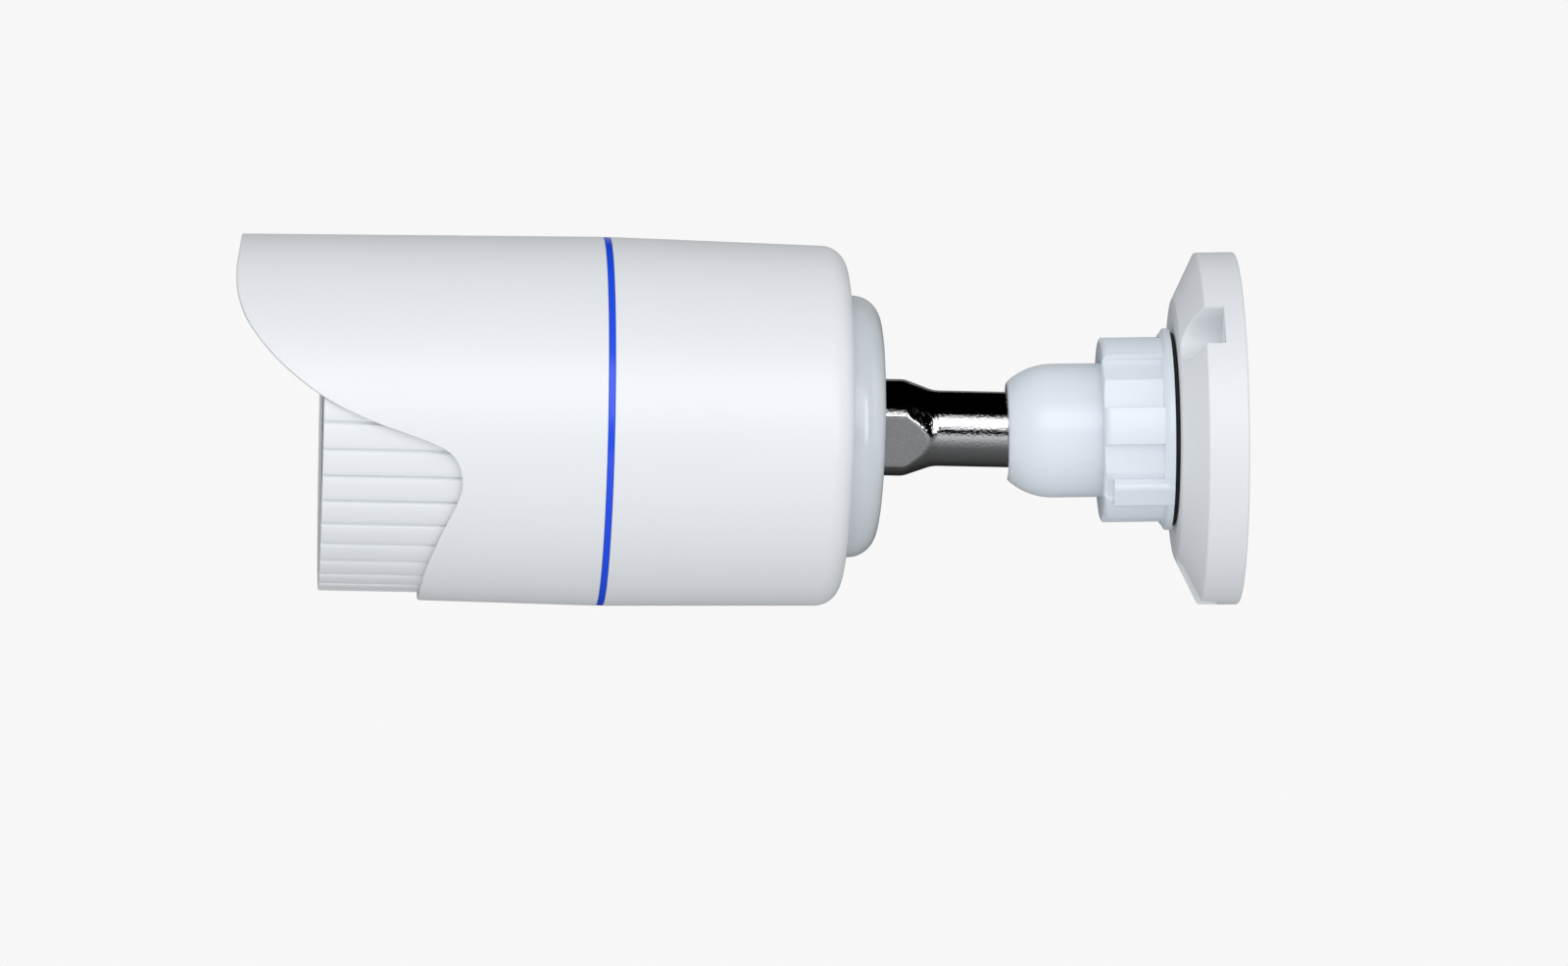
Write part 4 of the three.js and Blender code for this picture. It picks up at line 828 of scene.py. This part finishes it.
def nut_section(angle):
    degrees = math.degrees(angle)
    backs = [nut.back + d for d in (0.05, 0.2, 0.9, 1.0, 1.15, 1.3, 1.45, 1.6, 1.75, 1.9, 2.0, 2.2)]
    middles = [LUG_FRONT + d for d in (-1.0, -0.15, -0.08, 0, 0.08, 0.15)]
    edge = nut.front - NUT_EDGE
    fronts = [edge + NUT_EDGE * math.sin(math.pi / 2 * i / 9) for i in range(10)]
    outer = [(nut.back, nut_out(nut.back, degrees) - 0.15)]
    outer += [(x, nut_out(x, degrees)) for x in backs + middles + fronts]
    lip_back = nut.front - 2.05
    bore = 16.0
    inner = [(nut.front, nut.hole + 0.3), (nut.front - 0.1, nut.hole + 0.08), (nut.front - 0.3, nut.hole)]
    inner += [(lip_back, nut.hole), (lip_back, bore), (nut.back + 0.2, bore), (nut.back, bore + 0.15)]
    return outer + inner


# %% Ring nut
def crowded(places, reach, fine, coarse):
    """Angles round a circle in degrees, closer together near some places."""
    turns = [i * coarse for i in range(round(360 / coarse))]
    for place in places:
        turns += [place + reach * (2 * i / fine - 1) for i in range(fine + 1)]
    turns = sorted(turn % 360 for turn in turns)
    apart = [b for a, b in zip([turns[-1] - 360] + turns, turns) if b - a > 0.02]
    return [math.radians(turn) for turn in apart]


land_ends = [LAND_MIDDLE + 60 * i + side * LAND_HALF for i in range(6) for side in (-1, 1)]
lug_ends = [LUG_TURN + side * 8.4 for side in (-1, 1)]
creases = [LAND_MIDDLE + 30 + 60 * i for i in range(6)]
nut_turns = crowded(land_ends + lug_ends + creases, 1.2, 12, 1.5)
ring_nut = ring("ring_nut", nut_section, WALL, "nut", "body_white", ["lock_nut"], nut_turns)
ring_nut.data.materials[0] = bluish_white_abs

# %% [markdown]
# ## The slotted dome
# The dome holds the stem's ball and turns under the nut's lip. Its slot, on one side only, lets the
# stem fold right down. The slot's round end sits on the ball's centre and its lip is rounded by the
# same kind of cutter as the pockets.

# %% Swivel dome
dome = span("socket_dome", SOCKET)
DOME_OUT = 12.73
DOME_LEAD = 0.45
CAVITY = 10.9
STEM_OUT = 7.19
SLOT_HALF = 7.69
MOUTH_OUT = 9.29
MOUTH_LEAN = math.radians(7)
MOUTH_PLAY = 0.25


def mouth_radius(x):
    """The mouth follows the stem at its furthest lean away from the slot."""
    return STEM_OUT / math.cos(MOUTH_LEAN) + x * math.tan(MOUTH_LEAN) + MOUTH_PLAY


def arc_points(middle, radius, start, stop, steps):
    """Points of an arc about a place on the axis, from one angle to another, in degrees from the axis."""
    turns = [math.radians(start + (stop - start) * i / steps) for i in range(steps + 1)]
    return [(middle + radius * math.cos(turn), radius * math.sin(turn)) for turn in turns]


def dome_section():
    inner_turn = math.degrees(math.asin(mouth_radius(7.2) / CAVITY))
    outer_turn = math.degrees(math.asin((MOUTH_OUT + 0.35) / DOME_OUT))
    step = dome.back + 2
    points = rounded([(dome.back, CAVITY, 0), (dome.back, dome.out, 0.3), (step, dome.out, 0.3)])
    points += [(step, DOME_OUT + 0.25), (step + 0.08, DOME_OUT + 0.08), (step + 0.25, DOME_OUT)]
    points += arc_points(DOME_LEAD, DOME_OUT, 90, outer_turn, 28)
    mouth = mouth_radius(dome.front)
    points += [(dome.front - 0.02, MOUTH_OUT - 0.1), (dome.front, mouth + 0.3)]
    points += [(dome.front - 0.12, mouth + 0.06), (dome.front - 0.4, mouth_radius(dome.front - 0.4))]
    points += arc_points(0, CAVITY, inner_turn, 90, 20)
    return points


def slot_outline(grown):
    half = SLOT_HALF + grown
    bend = [math.pi / 2 + math.pi * i / 48 for i in range(49)]
    run = [0.6 * i for i in range(1, 25)]
    return (
        [(half * math.cos(a), half * math.sin(a)) for a in bend]
        + [(u, -half) for u in run]
        + [(u, half) for u in reversed(run)]
    )


def dome_surface(along, across):
    ahead = max(along - DOME_LEAD, 0)
    return math.sqrt(max(DOME_OUT**2 - across**2 - ahead**2, 4))


away_from_slot = Matrix(((1, 0, 0, 0), (0, 0, -1, 0), (0, 1, 0, 0), (0, 0, 0, 1)))
slot_cutter = lipped_cutter(slot_outline, 0, DOME_OUT + 3, dome_surface, away_from_slot)
dome_mesh = carved(swept(dome_section(), 192), [slot_cutter])
swivel_dome = piece("swivel_dome", dome_mesh, SOCKET, "socket", "body_white", ["socket_dome"])
swivel_dome.data.materials[0] = bluish_white_abs

# %% [markdown]
# ## The chromed stem
# A ball, a neck and a hub with two wrench flats, cast as one piece and plated. A flat meets the
# round hub and its cone in one rounded edge, and chrome shows every such edge as a bright line. So
# the flats are not cut: at each angle the radius is the smaller of the turned profile and the
# flat's distance, blended over about 0.2 mm. The faces of the flats get the grainier finish.

# %% Stem profile
stem_size = span("stem", STEM)
STEM_BORE = 3.6
BALL = -stem_size.back
CONE_START = 23.3
CONE_END = 28.9
HUB_OUT = 9.2
HUB_END = 33.7
SPIGOT_OUT = 6.0
FLAT_OUT = 7.65
FLAT_TURN = -54


def turned_out(x):
    """The stem's radius before its flats, between the neck and the hub's end."""
    cone = STEM_OUT + (x - CONE_START) * (HUB_OUT - STEM_OUT) / (CONE_END - CONE_START)
    return most(STEM_OUT, least(cone, HUB_OUT, 0.25), 0.4)


def flat_share(angle):
    away = min(off_by(angle, FLAT_TURN), off_by(angle, FLAT_TURN + 180))
    return math.cos(math.radians(away))


def stem_out(x, angle):
    share = flat_share(angle)
    if share < 0.5 or x < CONE_START - 0.5:
        return turned_out(x)
    return least(turned_out(x), FLAT_OUT / share, 0.22)


def stem_section(angle):
    degrees = math.degrees(angle)
    bore_turn = 180 - math.degrees(math.asin(STEM_BORE / BALL))
    neck_turn = math.degrees(math.asin(STEM_OUT / BALL))
    points = arc_points(0, BALL, bore_turn, neck_turn, 36)
    steps = [12, 16, 20, 22.0] + [22.6 + 0.2 * i for i in range(54)]
    points += [(x, stem_out(x, degrees)) for x in steps if x < HUB_END - 0.3]
    end = stem_out(HUB_END, degrees)
    points += [(HUB_END - 0.3, end), (HUB_END - 0.09, end - 0.09), (HUB_END, end - 0.3)]
    tip = stem_size.front
    points += [(HUB_END, SPIGOT_OUT), (tip - 0.5, SPIGOT_OUT), (tip, SPIGOT_OUT - 0.5)]
    points += [(tip, STEM_BORE + 0.3), (tip - 0.3, STEM_BORE)]
    return points


# %% Ball stem
def box_cutter(low, high):
    """A closed box from its lowest to its highest corner, in mm."""
    mesh = bmesh.new()
    bmesh.ops.create_cube(mesh, size=1.0)
    middle = [(a + b) / 2 * MM for a, b in zip(low, high)]
    size = [(b - a) * MM for a, b in zip(low, high)]
    bmesh.ops.scale(mesh, vec=size, verts=mesh.verts)
    bmesh.ops.translate(mesh, vec=middle, verts=mesh.verts)
    return mesh


flat_edges = []
for middle in (FLAT_TURN, FLAT_TURN + 180):
    flat_edges += [middle + side * math.degrees(math.acos(FLAT_OUT / HUB_OUT)) for side in (-1, 1)]
stem_turns = crowded(flat_edges, 4, 24, 1.5)
cable_slit = box_cutter((-21, -21, -STEM_BORE), (STEM_BORE, 0, STEM_BORE))
stem_mesh = carved(swept(stem_section, stem_turns), [cable_slit])
ball_stem = piece("ball_stem", stem_mesh, STEM, "stem", "chrome", ["stem"], sharp=50)
ball_stem.data.materials.append(cast_chrome)
flat_faces = 0
for face in ball_stem.data.polygons:
    x, y, z = STEM.inverted() @ face.center / MM
    turn = math.degrees(math.atan2(z, y))
    reach = math.hypot(y, z) * flat_share(turn)
    level = abs(face.normal.dot(stem_line)) < 0.05 and CONE_START < x < HUB_END - 0.2
    if level and abs(reach - FLAT_OUT) < 0.03:
        face.material_index = 1
        flat_faces += 1
print("faces on the flats:", flat_faces)

# %% [markdown]
# ## Cap, housing and trim band
# The rear half is two moulded shells with generous corner radii, and a thin blue band that shows
# between the housing and the hood. All are drawn as sections swept round the axis. The cap's screw
# bosses are short tubes fused with its floor, and the housing's floor is drilled for their screws.

# %% Cap and housing
cap = span("rear_cap", HEAD)
housing = span("rear_housing", HEAD)
CAP_INNER = 22.7
CAP_FLOOR = 2.5
SCREW_CIRCLE = 17.7
SCREW_TURNS = (90, 210, 330)


def moved(mesh, out, angle):
    """The bmesh moved out from the axis, at an angle in degrees."""
    turn = math.radians(angle)
    offset = Vector((0, math.cos(turn), math.sin(turn))) * out * MM
    bmesh.ops.translate(mesh, vec=offset, verts=mesh.verts)
    return mesh


cap_corners = [
    (cap.back, cap.hole, 0.25),
    (cap.back, cap.out * TRUE, 5.2),
    (cap.front, cap.out * TRUE, 0.2),
    (cap.front, CAP_INNER, 0.2),
    (cap.front - 1.2, CAP_INNER, 0.3),
    (cap.back + CAP_FLOOR, 17.5, 0.8),
    (cap.back + CAP_FLOOR, cap.hole, 0.2),
]
boss = rounded(
    [(cap.back + 1.5, 3.4, 0.1), (cap.front, 3.4, 0.3), (cap.front, 1.5, 0.2), (cap.back + 1.5, 1.5, 0.1)]
)
bosses = [moved(swept(boss, 32), SCREW_CIRCLE, turn) for turn in SCREW_TURNS]
cap_mesh = carved(swept(rounded(cap_corners), 192), bosses, "UNION")
piece("back_cap", cap_mesh, HEAD, "head", "cap_grey_white", ["rear_cap"])

SEAM = 0.2  # the shells reach this far towards the band, which leaves a hairline joint
housing_corners = [
    (housing.back, housing.hole, 0.4),
    (housing.back, 34.15 * TRUE, 4.7),
    (housing.front + SEAM, housing.out * TRUE, 0.12),
    (housing.front + SEAM, 32.0, 0.2),
    (housing.back + 4.7, 32.0, 1.2),
    (housing.back + CAP_FLOOR, 29.4, 0.8),
    (housing.back + CAP_FLOOR, housing.hole, 0.3),
]
drill = [(housing.back - 1, 0), (housing.back - 1, 1.5), (housing.back + 4, 1.5), (housing.back + 4, 0)]
drills = [moved(swept(drill, 24), SCREW_CIRCLE, turn) for turn in SCREW_TURNS]
housing_mesh = carved(swept(rounded(housing_corners), 240), drills)
piece("back_shell", housing_mesh, HEAD, "head", "body_white", ["rear_housing"])

# %% Trim band
band = span("trim_ring", HEAD)
BAND_PLAY = 0.05
band_corners = [
    (band.back - BAND_PLAY, band.out * TRUE - 0.04, 0.12),
    (band.front + BAND_PLAY, band.out * TRUE - 0.04, 0.12),
    (band.front + BAND_PLAY, band.hole, 0.2),
    (band.back - BAND_PLAY, band.hole, 0.2),
]
ring("trim_band", rounded(band_corners), HEAD, "head", "blue_trim", ["trim_ring"], 240)

# %% [markdown]
# ## The sun hood
# A thin, slightly tapering tube whose front end is cut to a long sweeping curve, so that it shades
# the window but leaves the barrel's side open. Seen from the side the cut is one smooth curve, so
# for each height it has one distance along the head. The tube is swept with that distance as the
# end of its section, and its edge keeps the same small radius all the way round.

# %% Sun hood
HOOD_REACH = 42.5
HOOD_WALL = 1.0
HOOD_REAR_OUT = 35.0
HOOD_TIP_OUT = 34.1
HOOD_PLAY = 0.12  # keeps the rounded tip inside the frame's box
hood = span("sun_shield", HEAD)
hood_tip = hood.back + 69.1
HOOD_OUTLINE = [
    (0.97, 1.05),
    (0.985, 0.93),
    (0.997, 0.8),
    (0.985, 0.66),
    (0.93, 0.5),
    (0.8, 0.305),
    (0.61, 0.12),
    (0.4, -0.005),
    (0.14, -0.118),
    (0.035, -0.2),
    (0.0, -0.33),
    (0.02, -0.455),
    (0.09, -0.65),
    (0.15, -0.86),
    (0.17, -1.05),
]


def curve_through(points, steps):
    """A smooth curve that passes through points, as many points."""
    ends = [points[0], *points, points[-1]]
    drawn = []
    for a, b, c, d in zip(ends, ends[1:], ends[2:], ends[3:]):
        a, b, c, d = (Vector(p) for p in (a, b, c, d))
        for i in range(steps):
            t = i / steps
            bend = 2 * b + (c - a) * t + (2 * a - 5 * b + 4 * c - d) * t**2 + (3 * b - a - 3 * c + d) * t**3
            drawn.append(tuple(bend / 2))
    return drawn + [points[-1]]


hood_curve = curve_through(HOOD_OUTLINE, 24)[::-1]
curve_heights = [above * HOOD_REAR_OUT for _, above in hood_curve]
curve_ends = [hood_tip - HOOD_REACH * (1 - ahead) for ahead, _ in hood_curve]


def hood_out(x):
    return TRUE * (HOOD_REAR_OUT + (HOOD_TIP_OUT - HOOD_REAR_OUT) * (x - hood.back) / (hood_tip - hood.back))


def hood_section(angle):
    end = float(np.interp(HOOD_REAR_OUT * math.sin(angle), curve_heights, curve_ends))
    end -= HOOD_PLAY
    start = hood.back - SEAM
    back = [(start, hood_out(start) - HOOD_WALL, 0.2), (start, hood_out(start), 0.12)]
    front = [(end, hood_out(end), 0.35), (end, hood_out(end) - HOOD_WALL, 0.3)]
    return rounded(back + front)


ring("sun_hood", hood_section, HEAD, "head", "body_white", ["sun_shield"], 720)

# %% [markdown]
# ## The finned barrel
# Under the hood the barrel is moulded with forty straight grooves that add surface to shed heat and
# look like slats from the side. Each groove is a narrow V, and each fin between two of them is
# slightly crowned, so that its upper shoulder catches the light and its lower one is in shade. The
# radius depends only on the angle there, so a sweep whose section changes with the angle draws
# them, with the angles crowded round each groove.

# %% Finned barrel
barrel = span("ribbed_barrel", HEAD)
BARREL_OUT = 33.02
GROOVES = 40
GROOVE_HALF = 0.42
GROOVE_DEPTH = 0.55
FIN_CROWN = 0.34  # how far a fin's edges lie below its middle
GROOVE_START = 88.65
GROOVE_TURN = math.degrees(GROOVE_HALF / BARREL_OUT)
SHOULDER = 85.65
TAIL_BACK = 75.0
TAIL_OUT = 31.66
SEAL_FLOOR = 30.4
THROAT = 29.32
BOARD_SEAT = 123.5
WINDOW_SEAT = 133.7
WINDOW_BORE = 29.72
FINNED = HEAD @ Matrix.Rotation(math.radians(-1), 4, "X")


def groove_depth(degrees):
    away = (degrees + 180 / GROOVES) % (360 / GROOVES) - 180 / GROOVES
    vee = 1 - math.sqrt((away / GROOVE_TURN) ** 2 + 0.1**2)
    off_middle = 1 - abs(away) / (180 / GROOVES)
    return GROOVE_DEPTH * most(vee, 0, 0.12) + FIN_CROWN * off_middle**3.2


def barrel_section(angle):
    depth = groove_depth(math.degrees(angle))
    tail = [(TAIL_BACK, 31.3), (75.1, 31.55), (75.35, TAIL_OUT), (80.05, TAIL_OUT)]
    tail += [(80.1, SEAL_FLOOR), (82.0, SEAL_FLOOR), (82.05, TAIL_OUT)]
    shoulder = [(SHOULDER - 0.05, TAIL_OUT), (SHOULDER, 31.75)]
    shoulder += [(SHOULDER, BARREL_OUT - 0.2), (SHOULDER + 0.2, BARREL_OUT)]
    starts = [(GROOVE_START + 0.7 * i / 5, BARREL_OUT - depth * smooth(i, 0, 5)) for i in range(6)]
    front = barrel.front
    nose = []
    for along, chamfer in ((0.35, 0.0), (0.2, 0.03), (0.1, 0.09), (0.03, 0.17), (0, 0.3)):
        nose.append((front - along, BARREL_OUT - depth - chamfer))
    bore = [(front, WINDOW_BORE + 0.3), (front - 0.1, WINDOW_BORE + 0.08), (front - 0.3, WINDOW_BORE)]
    bore += [(WINDOW_SEAT, WINDOW_BORE), (WINDOW_SEAT, barrel.hole + 0.2), (WINDOW_SEAT - 0.2, barrel.hole)]
    bore += [(BOARD_SEAT, barrel.hole), (BOARD_SEAT, THROAT), (TAIL_BACK, THROAT)]
    return tail + shoulder + starts + nose + bore


groove_steps = [0, 0.15, 0.4, 0.7, 0.9, 1.05, 1.3, 1.7, 2.2, 2.8, 3.5, 4.4, 5.4]
barrel_turns = []
for i in range(GROOVES):
    for step in groove_steps[:0:-1]:
        barrel_turns.append(math.radians(360 / GROOVES * i - GROOVE_TURN * step))
    for step in groove_steps:
        barrel_turns.append(math.radians(360 / GROOVES * i + GROOVE_TURN * step))
ring(
    "finned_barrel", barrel_section, FINNED, "head", "body_white", ["ribbed_barrel"], barrel_turns
)

# %% [markdown]
# ## Window, lamps and lens
# Behind the clear window, a ring of eight infrared lamps surrounds the lens, with a light sensor
# above it and a foam shroud that keeps the lamps' glare off the lens. Each lamp is a flanged base
# and a domed body; the lens has a knurled barrel, a recessed front face and a bulging glass.

# %% Window and bezel
DISC_TURNS = 128
pane = span("front_window", HEAD)
pane_corners = [
    (pane.back, 0, 0),
    (pane.back, pane.out, 0.25),
    (pane.front, pane.out, 0.4),
    (pane.front, 0, 0),
]
pane_section = rounded(pane_corners)
ring("front_glass", pane_section, HEAD, "head", "window_glass", ["front_window"], DISC_TURNS)

bezel = span("window_bezel", HEAD)
bezel_corners = [
    (bezel.back, bezel.hole, 0.1),
    (bezel.back, bezel.out, 0.15),
    (bezel.front, bezel.out, 0.2),
    (bezel.front, bezel.hole + 1.2, 0.3),
    (bezel.back + 0.5, bezel.hole, 0.15),
]
ring("glass_bezel", rounded(bezel_corners), HEAD, "head", "black_plastic", ["window_bezel"])

# %% Lamp board, lamps and light sensor
lamp_board = span("led_board", HEAD)
LAMP_CIRCLE = 19.41
LAMP_OUT = 3.0
LAMPS = 8
EYE_CIRCLE = 14.2
EYE_OUT = 1.5
board_corners = [
    (lamp_board.back, lamp_board.hole, 0.1),
    (lamp_board.back, lamp_board.out * TRUE, 0.15),
    (lamp_board.front, lamp_board.out * TRUE, 0.15),
    (lamp_board.front, lamp_board.hole, 0.1),
]
board_mesh = swept(rounded(board_corners), 160)
piece("lamp_panel", board_mesh, HEAD, "head", "circuit_board", ["led_board"])


def lamp_section(size, out, flange):
    """A moulded lamp: a flange, a straight body and a dome, from its back to its tip."""
    body = out * 0.86
    turns = np.linspace(0, math.pi / 2, 12)
    dome = [(size.front - body * (1 - math.sin(t)), body * math.cos(t)) for t in turns]
    top = size.back + flange
    foot = [(size.back, 0), (size.back, out - 0.1), (size.back + 0.1, out), (top, out)]
    return foot + [(top + 0.1, out - 0.1), (top + 0.12, body)] + dome


for i in range(LAMPS):
    node = f"ir_led_{i + 1}"
    section = lamp_section(span(node, HEAD), LAMP_OUT, 1.0)
    mesh = moved(swept(section, 40), LAMP_CIRCLE, 360 / LAMPS * (i + 0.5))
    piece(f"lamp_{i + 1}", mesh, HEAD, "head", "dark_resin", [node])
eye_section = lamp_section(span("light_sensor", HEAD), EYE_OUT, 0.7)
eye_mesh = moved(swept(eye_section, 32), EYE_CIRCLE, 90)
piece("light_eye", eye_mesh, HEAD, "head", "dark_resin", ["light_sensor"])

# %% Lens
shroud = span("lens_shroud", HEAD)
shroud_corners = [
    (shroud.back, shroud.hole, 0.2),
    (shroud.back, shroud.out, 0.3),
    (shroud.front, shroud.out, 0.7),
    (shroud.front, shroud.hole, 0.5),
]
ring("foam_shroud", rounded(shroud_corners), HEAD, "head", "black_foam", ["lens_shroud"])

lens_size = span("lens_barrel", HEAD)
lens_glass = span("lens_front_glass", HEAD)
LENS_HEAD_BACK = 114.5
KNURLS = 48
KNURL_HEIGHT = 0.18
THREAD_PITCH = 0.5
THREAD_ROOT = 5.75
THREAD_OUT = 6.0
FACE_DEPTH = 2.4


def lens_section(angle):
    """A threaded tail, drawn as rings at the thread's pitch, and a knurled head round a sunken face."""
    ridge = KNURL_HEIGHT * smooth(math.cos(KNURLS * angle), -0.3, 0.5)
    head_out = lens_size.out - KNURL_HEIGHT
    thread = [(lens_size.back, 0), (lens_size.back, THREAD_ROOT - 0.05)]
    turns = int((LENS_HEAD_BACK - 0.5 - lens_size.back) / THREAD_PITCH)
    for i in range(turns):
        x = lens_size.back + 0.2 + THREAD_PITCH * i
        thread += [(x, THREAD_ROOT), (x + THREAD_PITCH / 2, THREAD_OUT)]
    grip = [(LENS_HEAD_BACK, THREAD_OUT), (LENS_HEAD_BACK, head_out - 0.2), (LENS_HEAD_BACK + 0.2, head_out)]
    grip += [(LENS_HEAD_BACK + 1.0, head_out), (LENS_HEAD_BACK + 1.2, head_out + ridge)]
    grip += [(LENS_HEAD_BACK + 6.0, head_out + ridge), (LENS_HEAD_BACK + 6.2, head_out)]
    face = [(lens_size.front - 0.3, head_out), (lens_size.front, head_out - 0.3), (lens_size.front, 6.9)]
    funnel = [(lens_size.front - 0.9, 6.5), (lens_size.front - 1.0, 6.25)]
    funnel += [(lens_size.front - FACE_DEPTH, 6.25)]
    return thread + grip + face + funnel + [(lens_size.front - FACE_DEPTH, 0)]


ring("lens_body", lens_section, HEAD, "head", "black_plastic", ["lens_barrel"], KNURLS * 6)
glass_out = lens_glass.out - 0.05
bulge = 1.25
curve_radius = (glass_out**2 + bulge**2) / (2 * bulge)
bulge_centre = lens_glass.front - curve_radius
reach = math.degrees(math.asin(glass_out / curve_radius))
glass_front = [(bulge_centre + x, r) for x, r in arc_points(0, curve_radius, reach, 0, 24)]
glass_section = [(lens_glass.back, 0), (lens_glass.back, glass_out), *glass_front]
ring("lens_eye", glass_section, HEAD, "head", "lens_glass", ["lens_front_glass"], DISC_TURNS)

# %% [markdown]
# ## The frame's box
# The pieces are drawn to stay inside the frame's box, which is printed in millimetres.

# %% Sizes and finish
print("frame box", [[round(c / MM, 2) for c in corner] for corner in cad_box])
